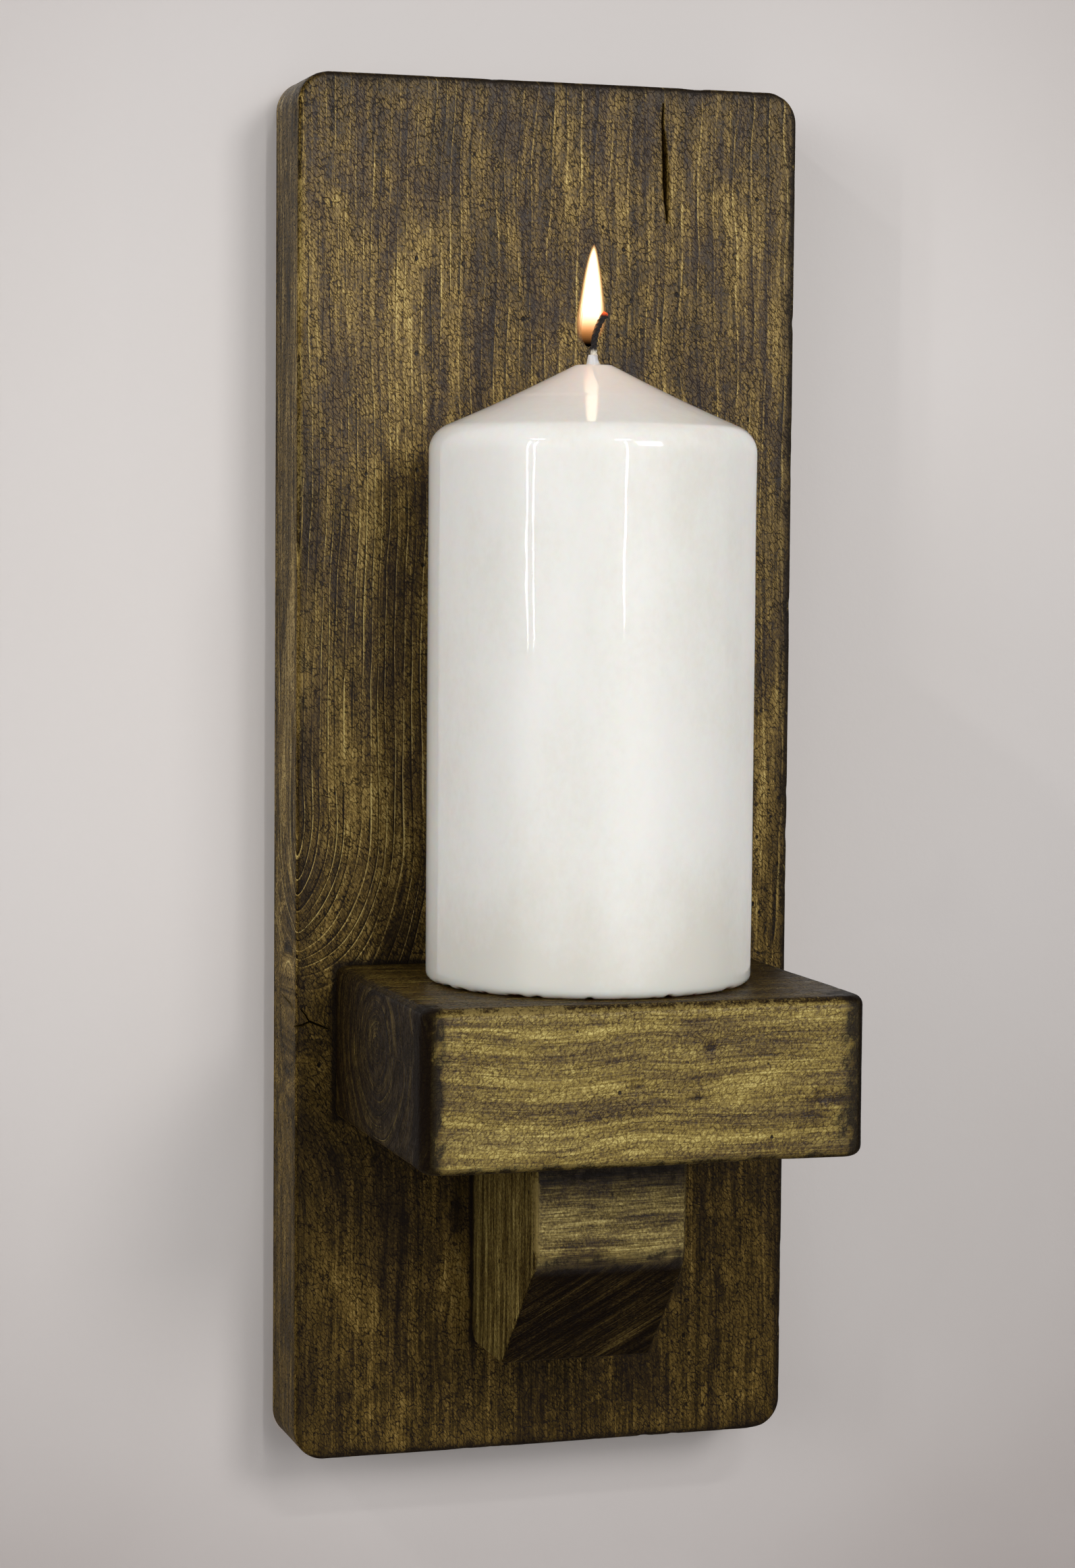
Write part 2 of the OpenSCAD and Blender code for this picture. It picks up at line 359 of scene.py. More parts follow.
def slit_cutter(name, path, widths, across, inward, deep):
    """The cutter for a crack along a path on a face. It narrows to a tenth at its full depth. Sizes in mm."""
    path, across, inward = np.array(path, float), np.array(across, float), np.array(inward, float)
    widths = np.array(widths, float)[:, None] / 2
    rings = []
    for shift, share in ((-0.5, 1.05), (deep, 0.1)):
        level = path + inward * shift
        half = across * widths * share
        rings.append(np.concatenate([level + half, (level - half)[::-1]]))
    return add_object(name, np.concatenate(rings) * MM, tube_faces(len(rings[0])))


# ---------------------------------------------------------------- materials

def srgb(red, green, blue):
    """A colour on the 0 to 255 scale of a screen, as linear light."""
    parts = [c / 255 for c in (red, green, blue)]
    return tuple(c / 12.92 if c <= 0.04045 else ((c + 0.055) / 1.055) ** 2.4 for c in parts) + (1.0,)


class Shader:
    """Builds one node material. Every method gives the socket that its result comes out of."""

    def __init__(self, name):
        self.material = bpy.data.materials.new(name)
        self.material.use_nodes = True
        self.tree = self.material.node_tree
        self.tree.nodes.clear()
        self.output = self.tree.nodes.new("ShaderNodeOutputMaterial")

    def node(self, kind, inputs, **settings):
        made = self.tree.nodes.new(kind)
        for key, value in settings.items():
            setattr(made, key, value)
        for key, value in inputs.items():
            if isinstance(value, bpy.types.NodeSocket):
                self.tree.links.new(value, made.inputs[key])
            else:
                made.inputs[key].default_value = value
        return made

    def attribute(self, name, output="Vector"):
        return self.node("ShaderNodeAttribute", {}, attribute_name=name).outputs[output]

    def position(self):
        return self.node("ShaderNodeTexCoord", {}).outputs["Object"]

    def split(self, vector):
        parts = self.node("ShaderNodeSeparateXYZ", {"Vector": vector})
        return [parts.outputs[k] for k in range(3)]

    def join(self, x, y, z):
        return self.node("ShaderNodeCombineXYZ", {"X": x, "Y": y, "Z": z}).outputs[0]

    def stretch(self, vector, sizes):
        """The vector in cells of these sizes, in mm."""
        scale = tuple(1 / (size * MM) for size in sizes)
        return self.node("ShaderNodeVectorMath", {0: vector, 1: scale}, operation="MULTIPLY").outputs[0]

    def add_vectors(self, a, b):
        return self.node("ShaderNodeVectorMath", {0: a, 1: b}, operation="ADD").outputs[0]

    def turn(self, vector, degrees):
        """The vector turned about Y."""
        angle = (0, math.radians(degrees), 0)
        return self.node("ShaderNodeMapping", {"Vector": vector, "Rotation": angle}).outputs[0]

    def math(self, operation, a, b=0.0, clamp=False):
        return self.node("ShaderNodeMath", {0: a, 1: b}, operation=operation, use_clamp=clamp).outputs[0]

    def times(self, a, b):
        return self.math("MULTIPLY", a, b)

    def minus(self, a, b):
        return self.math("SUBTRACT", a, b)

    def swing(self, noise):
        """Noise moved down by a half, so that it swings round 0."""
        return self.minus(noise, 0.5)

    def reach_squared(self, value, middle, reach):
        """How many reaches the value lies from the middle, squared."""
        reaches = self.math("DIVIDE", self.minus(value, middle), reach)
        return self.math("POWER", self.math("ABSOLUTE", reaches), 2.0)

    def total(self, *terms):
        """The sum of the terms. A term is a number, a socket or (socket, weight)."""
        result = 0.0
        for term in terms:
            if isinstance(term, tuple):
                inputs = {0: term[0], 1: term[1], 2: result}
                result = self.node("ShaderNodeMath", inputs, operation="MULTIPLY_ADD").outputs[0]
            else:
                result = self.math("ADD", term, result)
        return result

    def noise(self, vector, detail=2.0, rough=0.5, bend=0.0):
        node = self.node("ShaderNodeTexNoise", {"Vector": vector, "Scale": 1.0, "Detail": detail,
                                                "Roughness": rough, "Distortion": bend})
        return node.outputs["Fac"]

    def cells(self, vector, sizes, detail=2.0, rough=0.5, bend=0.0):
        """Noise whose cells have these sizes, in mm."""
        return self.noise(self.stretch(vector, sizes), detail, rough, bend)

    def cracks(self, vector):
        """Distance to the nearest edge between cells."""
        node = self.node("ShaderNodeTexVoronoi", {"Vector": vector, "Scale": 1.0, "Randomness": 1.0},
                         feature="DISTANCE_TO_EDGE")
        return node.outputs["Distance"]

    def dots(self, vector):
        """Distance to the middle of the nearest cell."""
        return self.node("ShaderNodeTexVoronoi", {"Vector": vector, "Scale": 1.0}).outputs["Distance"]

    def step(self, value, low, high, to_low=0.0, to_high=1.0):
        node = self.node("ShaderNodeMapRange", {"Value": value, "From Min": low, "From Max": high,
                                                "To Min": to_low, "To Max": to_high},
                         interpolation_type="SMOOTHSTEP")
        return node.outputs[0]

    def ramp(self, value, stops):
        """Colours at places along a value. A stop is (place, colour)."""
        node = self.node("ShaderNodeValToRGB", {"Fac": value})
        elements = node.color_ramp.elements
        while len(elements) < len(stops):
            elements.new(0.5)
        for element, (place_at, colour) in zip(elements, stops):
            element.position = place_at
            element.color = colour
        return node.outputs["Color"]

    def blend(self, share, first, second, mode="MIX"):
        node = self.node("ShaderNodeMix", {0: share, 6: first, 7: second}, data_type="RGBA", blend_type=mode)
        return node.outputs[2]

    def bump(self, height, deep, strength=1.0, normal=None):
        inputs = {"Height": height, "Distance": deep * MM, "Strength": strength}
        if normal is not None:
            inputs["Normal"] = normal
        return self.node("ShaderNodeBump", inputs).outputs[0]

    def principled(self, **inputs):
        named = {key.replace("_", " "): value for key, value in inputs.items()}
        return self.node("ShaderNodeBsdfPrincipled", named).outputs[0]

    def finish(self, surface):
        self.tree.links.new(surface, self.output.inputs["Surface"])
        return self.material


def ring_lines(s, rings, along):
    """Growth rings: each ends in a light line with a dark edge, and each line fades in and out."""
    phase, strength, _ = rings
    drift = s.noise(s.join(s.times(phase, 0.3), 7.0, s.times(along, 1 / (55 * MM))), 2.0)
    count = s.total(phase, (drift, 1.6))
    share = s.math("FRACT", count)
    ring = s.math("FLOOR", count)
    light_line = s.times(s.step(share, 0.0, 0.17, 1.0, 0.0), s.step(share, 0.0, 0.03))
    dark_line = s.step(share, 0.72, 0.99)
    strong = s.noise(s.join(s.times(ring, 5.3), 3.0, s.times(along, 1 / (30 * MM))), 2.0)
    strong = s.step(strong, 0.36, 0.66)
    lines = s.times(s.total(light_line, (dark_line, -0.55)), s.total(0.15, (strong, 0.85)))
    return s.times(lines, strength)


def hair_cracks(s, place_at, size, mottled):
    """Hair cracks in the stain, round long and bent cells."""
    turned = s.turn(place_at, 34)
    bend = s.cells(turned, (1.7, 1.7, 1.7), 2.0)
    bent = s.add_vectors(s.stretch(turned, size), s.join(bend, bend, bend))
    hair = s.step(s.cracks(bent), 0.0, 0.10, 1.0, 0.0)
    return s.times(hair, s.step(mottled, 0.32, 0.56, 0.25, 1.0))


def stained(s, colour, noises, finish, sheen, stain_and_haze_tint):
    """A violet cast where the stain lies thick and the sheen value is high, a painted reflection haze; then
    dirt and painted shade; then wood rubbed bare on the arrises, which on the shelf also stands in for a
    painted highlight.
    """
    patch, stipple, mottled = noises
    grime_and_shade, wear, _ = finish
    thick = s.step(s.total((patch, 0.6), (stipple, 0.4)), 0.54, 0.43)
    # Painted reflection haze: a violet cast that follows the sheen value, strongest where the stain lies
    # thick.
    colour = s.blend(s.times(thick, s.times(sheen, 0.9)), colour, srgb(*stain_and_haze_tint))
    ragged = s.total((s.swing(stipple), 1.5), (s.swing(mottled), 1.3))
    grime_and_shade_share = s.step(s.total(grime_and_shade, ragged), 0.28, 0.86)
    # Dirt and painted shade alike darken towards this near-black brown.
    colour = s.blend(s.times(grime_and_shade_share, 0.94), colour, srgb(22, 15, 10))
    bare = s.step(s.total(wear, ragged), 0.45, 0.8)
    return s.blend(s.times(bare, 0.72), colour, srgb(138, 119, 70)), grime_and_shade_share


def wood(name, palette, rings, fibre, blotch, speck, crackle, gloss, patch_size,
         crackle_size=(0.85, 0.85, 1.35), stain_and_haze_tint=(66, 52, 52)):
    """Stained and worn softwood. The weights say how far each layer moves the tone along the palette."""
    s = Shader(name)
    place_at = s.position()
    grain = s.attribute("grain")
    ring_values = s.split(s.attribute("rings"))
    finish = s.split(s.attribute("finish"))
    tone, contrast = finish[2], ring_values[2]
    sheen = s.attribute("sheen", "Fac")
    lines = ring_lines(s, ring_values, s.split(grain)[2])

    # Fibres, stain blotches, dark specks and hair cracks.
    strand = s.cells(grain, (0.42, 0.42, 17), 3.0, 0.65)
    coarse = s.cells(grain, (2.1, 2.1, 46), 2.0, 0.5)
    patch = s.cells(grain, patch_size, 3.0, 0.62, 0.6)
    stipple = s.cells(place_at, (0.62, 0.62, 0.75), 3.0, 0.7)
    mottled = s.cells(place_at, (2.6, 2.6, 3.4), 3.0, 0.62)
    hair = hair_cracks(s, place_at, crackle_size, mottled)
    pits = s.step(s.dots(s.stretch(place_at, (5.5, 5.5, 7.5))), 0.05, 0.11, 1.0, 0.0)
    pits = s.times(pits, s.step(patch, 0.5, 0.58))

    layers = ((strand, fibre * 2.2), (coarse, fibre * 1.7), (patch, blotch * 2.2), (mottled, blotch * 1.5),
              (stipple, speck * 2.3))
    value = s.total(tone, (lines, rings), (hair, -crackle), (pits, -0.5),
                    *[(s.swing(layer), weight) for layer, weight in layers])
    value = s.total(tone, s.times(s.minus(value, tone), contrast))
    stops = [(0.02 + 0.24 * k, srgb(*colour)) for k, colour in enumerate(palette)]
    colour, grime_and_shade_share = stained(s, s.ramp(value, stops), (patch, stipple, mottled), finish, sheen, stain_and_haze_tint)

    height = s.total((strand, 0.7), (lines, 0.35), (stipple, 0.4), (hair, -0.6), (pits, -1.2), (mottled, 0.4))
    rough = s.total(gloss, (s.swing(mottled), 0.35), (grime_and_shade_share, 0.2), (hair, 0.12))
    return s.finish(s.principled(Base_Color=colour, Roughness=rough, Specular_IOR_Level=sheen,
                                 Normal=s.bump(height, 0.16, 0.8)))


def raw_wood(name):
    """The plank's back: band-sawn, unfinished, with a little stain that ran over the edge."""
    s = Shader(name)
    place_at = s.position()
    across, _, along = s.split(place_at)
    strand = s.cells(place_at, (0.7, 0.7, 22), 3.0, 0.6)
    bands = s.cells(place_at, (5, 5, 90), 2.0)
    blur = s.cells(place_at, (20, 20, 30), 2.0)
    tooth_marks = 2.3 * MM
    saw = s.total(along, (across, 0.12), (blur, 5 * MM))
    saw = s.math("SINE", s.times(saw, 2 * math.pi / tooth_marks))
    value = s.total((strand, 0.5), (bands, 0.45), (saw, 0.012), (blur, 0.2))
    colour = s.ramp(value, [(0.35, srgb(74, 55, 33)), (0.55, srgb(128, 100, 62)), (0.8, srgb(172, 142, 96))])
    # Stain that ran a few millimetres round the edge.
    middle = (BOARD_LOW + BOARD_HIGH) / 2
    half = (BOARD_HIGH - BOARD_LOW) / 2
    over_side = s.minus(s.math("ABSOLUTE", s.minus(across, middle.x)), half.x)
    over_end = s.minus(s.math("ABSOLUTE", s.minus(along, middle.z)), half.z)
    rim = s.total(s.math("MAXIMUM", over_side, over_end), (s.swing(bands), 12 * MM))
    colour = s.blend(s.step(rim, -4 * MM, 1 * MM), colour, srgb(52, 38, 24))
    height = s.total((saw, 0.1), (strand, 0.6))
    return s.finish(s.principled(Base_Color=colour, Roughness=0.78, Normal=s.bump(height, 0.16, 0.8)))


# ---------------------------------------------------------------- plank

KNOT = np.array([-66.0, -16.0, -190.0])
KNOT_SIZE = (9.0, 15.5)
BOARD_CORNER, BOARD_ARRIS = 8.0, 1.8


def knot_distance(x, y, z):
    """1 on the knot's rim. The knot runs in from the left side and leans back from the front face."""
    lean = KNOT[1] + 0.8 * (x - KNOT[0])
    return np.sqrt(((y - lean) / KNOT_SIZE[0]) ** 2 + ((z - KNOT[2]) / KNOT_SIZE[1]) ** 2) + 1e-6


def board_grain(q):
    """Grain coordinates in mm and the ring count. The lines sweep towards the knot and pass round it."""
    x, y, z = q.T
    pull = 22 * bell(z + 192, 27) * np.exp(-(x - BOARD.left) / 26)
    sway = 1.1 * ripple(q, (60, 60, 55), 3) + 0.5 * ripple(q, (16, 30, 21), 4)
    round_it = knot_distance(x, y, z)
    lean = KNOT[1] + 0.8 * (x - KNOT[0])
    away = np.clip(1 - 1 / round_it ** 2, 0, 1)
    depth = lean + (y - lean) * np.where(round_it > 1, away, 0)
    near_knot = bell(x - BOARD.left, 16)
    inner = y * (1 - near_knot) + depth * near_knot
    across = x + pull + sway
    ring = across + 0.62 * (inner - BOARD.front)
    phase = 0.21 * ring - 0.3 * 12 * np.log1p(np.exp(-(ring + 22) / 12))
    in_knot = smooth(1.12 - round_it, 0, 0.12)
    phase = phase * (1 - in_knot) + round_it * 4.0 * in_knot
    return columns(across, inner, z), phase


def edge_distance(u, v, outline, radius):
    """How far inside a rectangle with round corners each point lies."""
    u0, u1, v0, v1 = outline
    over_u = np.abs(u - (u0 + u1) / 2) - (u1 - u0) / 2 + radius
    over_v = np.abs(v - (v0 + v1) / 2) - (v1 - v0) / 2 + radius
    outside = np.hypot(np.maximum(over_u, 0), np.maximum(over_v, 0))
    return radius - outside - np.minimum(np.maximum(over_u, over_v), 0)


def board_grime_and_shade(q, n):
    """Stain and dirt left on the rim; painted shade in the split and along the joints where the shelf and the
    corbel stand; a dark patch beside the corbel's left side.
    """
    x, y, z = q.T
    right, left = BOARD.right - x, x - BOARD.left
    rag = 1.3 * wobble(q, (5, 5, 9), 21)
    facing = smooth(-n[:, 1], 0.3, 0.8)
    rim = np.exp(-np.minimum(np.minimum(BOARD.top - z, z - BOARD.bottom), right - 0.4) / (2.6 + rag))
    left_rim = 0.55 * fade(left - 1.5, 7.5 + 3 * rag) * smooth(-z, -10, 60)
    on_right = smooth(n[:, 0], 0.4, 0.9) * (0.16 + 0.5 * np.exp(-(y - BOARD.front) / 2.5))
    # Painted shade: a dark line along the joints round the shelf and the corbel.
    shelf_gap = np.maximum(np.abs(x + 1) - 55, np.abs(z + 197.5) - 19.5)
    corbel_gap = np.maximum(np.abs(x) - 19.5, np.abs(z + 246.5) - 29.5)
    dark_by_corbel = spots(x, z, ((0.8, -24, 3.2, -243, 8), (0.35, -23, 3, -262, 14)))
    on_front = strongest(rim * 1.05, left_rim, fade(shelf_gap, 1.5), fade(corbel_gap, 1.6), dark_by_corbel)
    grime_and_shade = strongest(np.where(facing > 0.5, on_front, 0), 0.62 * mostly(np.abs(n[:, 2])), on_right)
    # Painted shade: the walls of the split are made as dark as the darkest dirt.
    in_split = (y > -24.6) & (y < -10) & (np.abs(x - 30) < 3) & (z > 9) & (z < 42) & (facing < 0.9)
    return np.where(in_split, 1.0, grime_and_shade)


def board_wear(x, y, z):
    """Wood rubbed bare along the left arris and a little along the right one."""
    arris = np.hypot(x - BOARD.left, y - BOARD.front)
    wear = 0.55 * bell(arris - 0.9, 0.8) * (0.25 + 0.75 * smooth(z, -170, -60)) * smooth(BOARD.top - z, 6, 14)
    return np.maximum(wear, 0.3 * bell(BOARD.right - x - 0.8, 1.0) * (np.abs(y + 24.5) < 1.5))


# The first two rows are painted shade under the shelf and under the corbel, and the fourth is a painted
# highlight high on the left; the rest are paler and darker stain.
BOARD_PATCHES_SHADE_AND_HIGHLIGHT = (
    (-0.22, 2, 46, -226, 17), (-0.16, -4, 36, -286, 16), (0.05, -44, 22, -120, 70), (0.09, -48, 14, -16, 26),
    (0.08, 6, 12, 22, 26), (0.07, 52, 9, -20, 60), (0.07, 50, 14, -140, 40), (-0.06, -28, 9, 26, 22),
    (-0.05, 40, 8, -30, 40), (0.05, -42, 20, -275, 26), (-0.10, -13, 10, -8, 22),
)


def board_tone_shade_and_highlight(q, n):
    """How light the stain looks: darker round the knot and paler in patches; darker low down, partly darker
    stain and partly painted shade under the shelf and the corbel; one patch high on the left is a painted
    highlight.
    """
    x, y, z = q.T
    # Darker low down: partly darker stain, partly painted shade of the shelf.
    tone = 0.455 - 0.095 * smooth(-z, 190, 225) + 0.08 * wobble(q, (22, 28, 46), 22)
    tone += spots(x, z, BOARD_PATCHES_SHADE_AND_HIGHLIGHT)
    tone -= 0.13 * bell(x - 21.5, 1.6) * smooth(z, -70, -20)
    tone -= 0.06 * smooth(BOARD.top - z, 26, 4)
    tone += mostly(np.abs(n[:, 0])) * (0.07 * smooth(-z, 60, 160) - 0.04)
    round_it = knot_distance(x, y, z)
    tone -= 0.12 * bell(round_it - 1.04, 0.13) * smooth(-x, 52, 62)
    return tone - 0.03 * smooth(1.08 - round_it, 0, 0.1)


BOARD_DENTS = ((-21, -9.7, 0.9, 0.35), (-37, 1, 1.1, 0.2), (50, -64, 1.4, 0.22), (-50, -240, 1.6, 0.2),
               (44, -262, 1.8, 0.22), (8, -296, 1.5, 0.2))


def board_relief(q, n):
    """How far the plank's surface lies inside the sawn block: sanding waves, worn arrises and dents."""
    x, y, z = q.T
    outer = edge_distance(x, z, (BOARD.left, BOARD.right, BOARD.bottom, BOARD.top), BOARD_CORNER)
    near_arris = fade(outer, 2.5) * smooth(-y, 18, 24)
    waves = 0.10 * (1 + wobble(q, (16, 16, 34), 31))
    chips = 0.30 * smooth(wobble(q, (4, 4, 7), 32), 0.1, 0.8) * near_arris
    on_front = y < BOARD.front + 1
    on_back = n[:, 1] > 0.5
    inwards = waves + chips + dents(x, z, BOARD_DENTS) * on_front
    return np.where((on_front | (outer < 0.6)) & ~on_back, inwards, 0)


def board_block():
    """The plank's outside: round corners, eased front arrises and a square back edge."""
    low, high = BOARD_LOW, BOARD_HIGH
    corner, arris, step, fine = BOARD_CORNER * MM, BOARD_ARRIS * MM, 1.05 * MM, 0.75 * MM
    across = grid_lines(high.x - low.x, corner, step, fine)
    along = grid_lines(high.z - low.z, corner, step, fine)
    levels = []
    for depth in level_depths(high.y - low.y, arris, 0, 1.6 * MM):
        inset = eased(depth, arris)
        outline = (low.x + inset, high.x - inset, low.z + inset, high.z - inset)
        levels.append((low.y + depth, outline, (corner - inset, corner - inset)))
    points, faces = stack(levels, across, along, corner, grid_end=False)
    return add_object("plank", points[:, [0, 2, 1]], faces)


# A crack is its path, its widths, the direction across it, the direction inwards and its depth, in mm.
BOARD_CRACKS = {
    "split": (((29.3, -25, 40.6), (29.1, -25, 36), (29.5, -25, 31), (29.9, -25, 26), (30.0, -25, 21),
               (30.2, -25, 16), (30.5, -25, 12.4), (30.6, -25, 10.4)),
              (0.25, 0.6, 1.0, 1.5, 1.55, 1.15, 0.7, 0.2), (1, 0, 0), (0, 1, 0), 6),
    "crack": (((-66.5, -25, -193.7), (-64.4, -25, -193.1), (-62.4, -25, -192.2), (-60, -25, -193.2),
               (-57.2, -25, -194.4)),
              (0.75, 0.7, 0.65, 0.5, 0.12), (0, 0, 1), (0, 1, 0), 2.4),
    "twig": (((-62.6, -25, -192.1), (-63.4, -25, -190.6), (-64.8, -25, -189.0)),
             (0.45, 0.4, 0.12), (0.7, 0, 0.7), (0, 1, 0), 1.6),
    "check": (((-66, -9.5, -187.2), (-66, -14, -187.9), (-66, -18, -188.3), (-66, -21, -189.6)),
              (0.12, 0.4, 0.55, 0.15), (0, 0, 1), (1, 0, 0), 1.5),
}


def board_cutters():
    """The hanger's recess and pocket, the screw holes, the drying split and the knot's cracks."""
    recess = slot_cutter("recess", PLATE_HIGH.x - PLATE_LOW.x + 2 * PLAY, PLATE_LOW.z - PLAY,
                         PLATE_HIGH.z + PLAY, PLATE_HIGH.y - PLATE_LOW.y + PLAY)
    middle = (PLATE_LOW.z + PLATE_HIGH.z) / 2
    pocket = slot_cutter("pocket", 14 * MM, middle - 14 * MM, middle + 14 * MM, 10 * MM)
    holes = [hole(name + "_hole", name, 32 * MM) for name in LONG_SCREWS]
    holes += [hole(name + "_hole", name, 16.1 * MM) for name in SHORT_SCREWS]
    return [recess, pocket, *holes, *(slit_cutter(name, *shape) for name, shape in BOARD_CRACKS.items())]


def is_raw(face):
    """Whether a face of the plank is on its back or in the hanger's pocket."""
    centre = face.center
    in_pocket = centre.y > -10.2 * MM and abs(centre.x) < 9 * MM and -25 * MM < centre.z < 35 * MM
    return face.normal.y > 0.9 or in_pocket


def make_board():
    """The plank, with its grain, stain, wear, painted shade and a painted highlight stored for each point
    before the surface is worn down.
    """
    piece = board_block()
    drill(piece, board_cutters())
    q, n = each_point(piece, "co") / MM, each_point(piece, "normal")
    x, y, z = q.T
    grain, phase = board_grain(q)
    strength = 0.8 + 1.3 * bell(x + 48, 26) * bell(z + 140, 62) * smooth(z, -186, -168)
    strength *= 1 - 0.7 * smooth(-z, 172, 190)
    finish = columns(board_grime_and_shade(q, n), board_wear(x, y, z), board_tone_shade_and_highlight(q, n))
    keep_looks(piece, grain, (phase, strength, 1.6 - 0.25 * smooth(-z, 180, 225)), finish)
    keep_sheen(piece, n, 0.07 + 0.19 * smooth(z, -230, -20), 0.02)
    wear_down(piece, board_relief(q, n))
    palette = ((20, 13, 5), (56, 43, 16), (102, 81, 37), (153, 128, 70), (200, 178, 112))
    front = wood("plank_wood", palette, rings=0.34, fibre=0.22, blotch=0.26, speck=0.23, crackle=0.3,
                 crackle_size=(0.75, 0.75, 2.3), gloss=0.42, patch_size=(9, 9, 34))
    piece.data.materials.append(front)
    piece.data.materials.append(raw_wood("plank_back_wood"))
    for face in piece.data.polygons:
        if is_raw(face):
            face.material_index = 1
    shade(piece)
    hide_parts("backboard")
    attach(piece, "sconce")


# ---------------------------------------------------------------- shelf

SHELF_CORNER, SHELF_ARRIS = 6.0, 2.6
PITH_Y, PITH_Z = -63, -189


def shelf_grain(q):
    """The pith runs across inside the block, so its ends show rings and its faces level lines."""
    x, y, z = q.T
    a = y - PITH_Y - 4 * np.sin(x / 38)
    b = z - PITH_Z - 2.5 * np.sin(x / 27 + 1) - 0.03 * x
    radius = np.hypot(a, b * 1.15) + 0.9 * ripple(q, (26, 11, 9), 41)
    return radius, np.arctan2(b, a) * 14


def shelf_lines(q, n, phase):
    """On the front and the top the growth rings lie nearly level and wander."""
    x, y, z = q.T
    level = z * mostly(-n[:, 1]) + y * mostly(n[:, 2])
    level = level + 1.1 * ripple(q, (30, 9, 9), 42) + 1.0 * np.sin((x + 40) / 9) * smooth(-x, -12, 8)
    flat = mostly(np.maximum(-n[:, 1], n[:, 2]))
    return phase * (1 - flat) + level / 2.7 * flat, level


def shelf_grime_and_shade(q, n):
    """Stain left on the front's rim, round the top and on the ends; painted shade underneath and along the
    back, where it meets the plank.
    """
    x, y, z = q.T
    left, right = x - SHELF.left, SHELF.right - x
    rag, fine_rag = wobble(q, 4.5, 51), wobble(q, 1.6, 54)
    left_rim = smooth(6.5 + 2.2 * rag + 1.8 * fine_rag - left, -1.5, 5)
    right_rim = 0.95 * smooth(12 + 3 * rag + 2 * fine_rag - right, 0, 10)
    low_rim = 0.75 * smooth(3.4 + rag - (z - SHELF.bottom), 0, 3.5)
    on_front = strongest(left_rim, right_rim, low_rim) * smooth(-y, 96, 104)
    on_top = mostly(n[:, 2]) * 0.75 * fade(np.minimum(left, right) - 1, 3.2)
    on_end = 0.62 * mostly(np.abs(n[:, 0]))
    # Painted shade: darker along the back against the plank and on the faces that look down.
    return strongest(on_front, on_top, on_end, fade(-25.2 - y, 1.6), 0.75 * mostly(-n[:, 2]))


def shelf_wear_and_highlight(x, y, z):
    """The front's upper arris, rubbed bare most on its left half; the pale line also stands in for a painted
    highlight along the arris.
    """
    left, right = x - SHELF.left, SHELF.right - x
    arris = np.hypot(y - SHELF.front, SHELF.top - z)
    wear = 0.72 * bell(arris - 1.1, 1.2) * smooth(left, 7, 10) * (1 - smooth(left, 30, 52))
    return np.maximum(wear, 0.45 * bell(arris - 1.0, 1.3) * smooth(right, 4, 10))


SHELF_SPOTS = ((-0.5, 13.8, 1.5, -189.3, 1.4), (-0.35, -4.4, 2.6, -197.4, 0.9),
               (-0.3, 10.4, 2.2, -200.6, 1.5), (-0.35, 44, 5.5, -202.0, 1.5), (-0.22, 40, 4.5, -206.5, 3))


def shelf_tone(q, n):
    """The pale front with its dark marks, the darker top and the dark ends with their pith."""
    x, y, z = q.T
    band = -205.5 + 1.2 * np.sin((x + 40) / 9) - 0.05 * (x + 45)
    marks = spots(x, z, SHELF_SPOTS)
    marks += 0.09 * smooth(band - z, -0.6, 0.6) * smooth(12 - x, 0, 20)
    marks -= 0.08 * bell(z + 203.0, 2.6) * smooth(20 - x, 0, 30)
    tone = 0.60 + 0.05 * wobble(q, (34, 12, 9), 52) + marks * mostly(-n[:, 1])
    tone = np.where(mostly(n[:, 2]) > 0.5, 0.30 - 0.0011 * x + 0.06 * wobble(q, (30, 10, 10), 53), tone)
    at_pith = bell(np.hypot(y - PITH_Y, z - PITH_Z), 5)
    return np.where(mostly(np.abs(n[:, 0])) > 0.5, 0.26 + 0.10 * at_pith, tone)


SHELF_DENTS = ((13.8, -189.3, 1.1, 0.45), (-4.4, -197.4, 1.2, 0.3), (42, -201.8, 1.6, 0.3),
               (-44, -186, 1.3, 0.2))


def shelf_relief(q, n):
    """How far the shelf's surface lies inside the sawn block."""
    x, y, z = q.T
    waves = 0.12 * (1 + wobble(q, (30, 12, 12), 61))
    outer = np.minimum(np.minimum(x - SHELF.left, SHELF.right - x), y - SHELF.front)
    ends = np.minimum(SHELF.top - z, z - SHELF.bottom)
    chips = 0.35 * smooth(wobble(q, (5, 5, 5), 62), 0.0, 0.9) * fade(np.maximum(outer, ends), 2.2)
    inwards = waves + chips + dents(x, z, SHELF_DENTS) * (y < SHELF.front + 2)
    return np.where((y < -25.6) & (n[:, 1] < 0.5), inwards, 0)


def shelf_block():
    """The shelf's outside: round corners at its front and eased arrises."""
    low, high = SHELF_LOW, SHELF_HIGH
    corner, arris, gap, step, fine = SHELF_CORNER * MM, SHELF_ARRIS * MM, 0.9 * MM, 0.85 * MM, 0.6 * MM
    across = grid_lines(high.x - low.x, corner, step, fine)
    along = grid_lines(high.y - low.y, corner, step, fine)
    thick = high.z - low.z
    levels = []
    for depth in level_depths(thick, arris, arris, step):
        inset = max(eased(depth, arris), eased(thick - depth, arris))
        back = max(eased(depth, gap), eased(thick - depth, gap))
        outline = (low.x + inset, high.x - inset, low.y + inset, high.y - back)
        levels.append((low.z + depth, outline, (corner - inset, 1.5 * MM)))
    points, faces = stack(levels, across, along, corner)
    return add_object("shelf_block", points, faces)


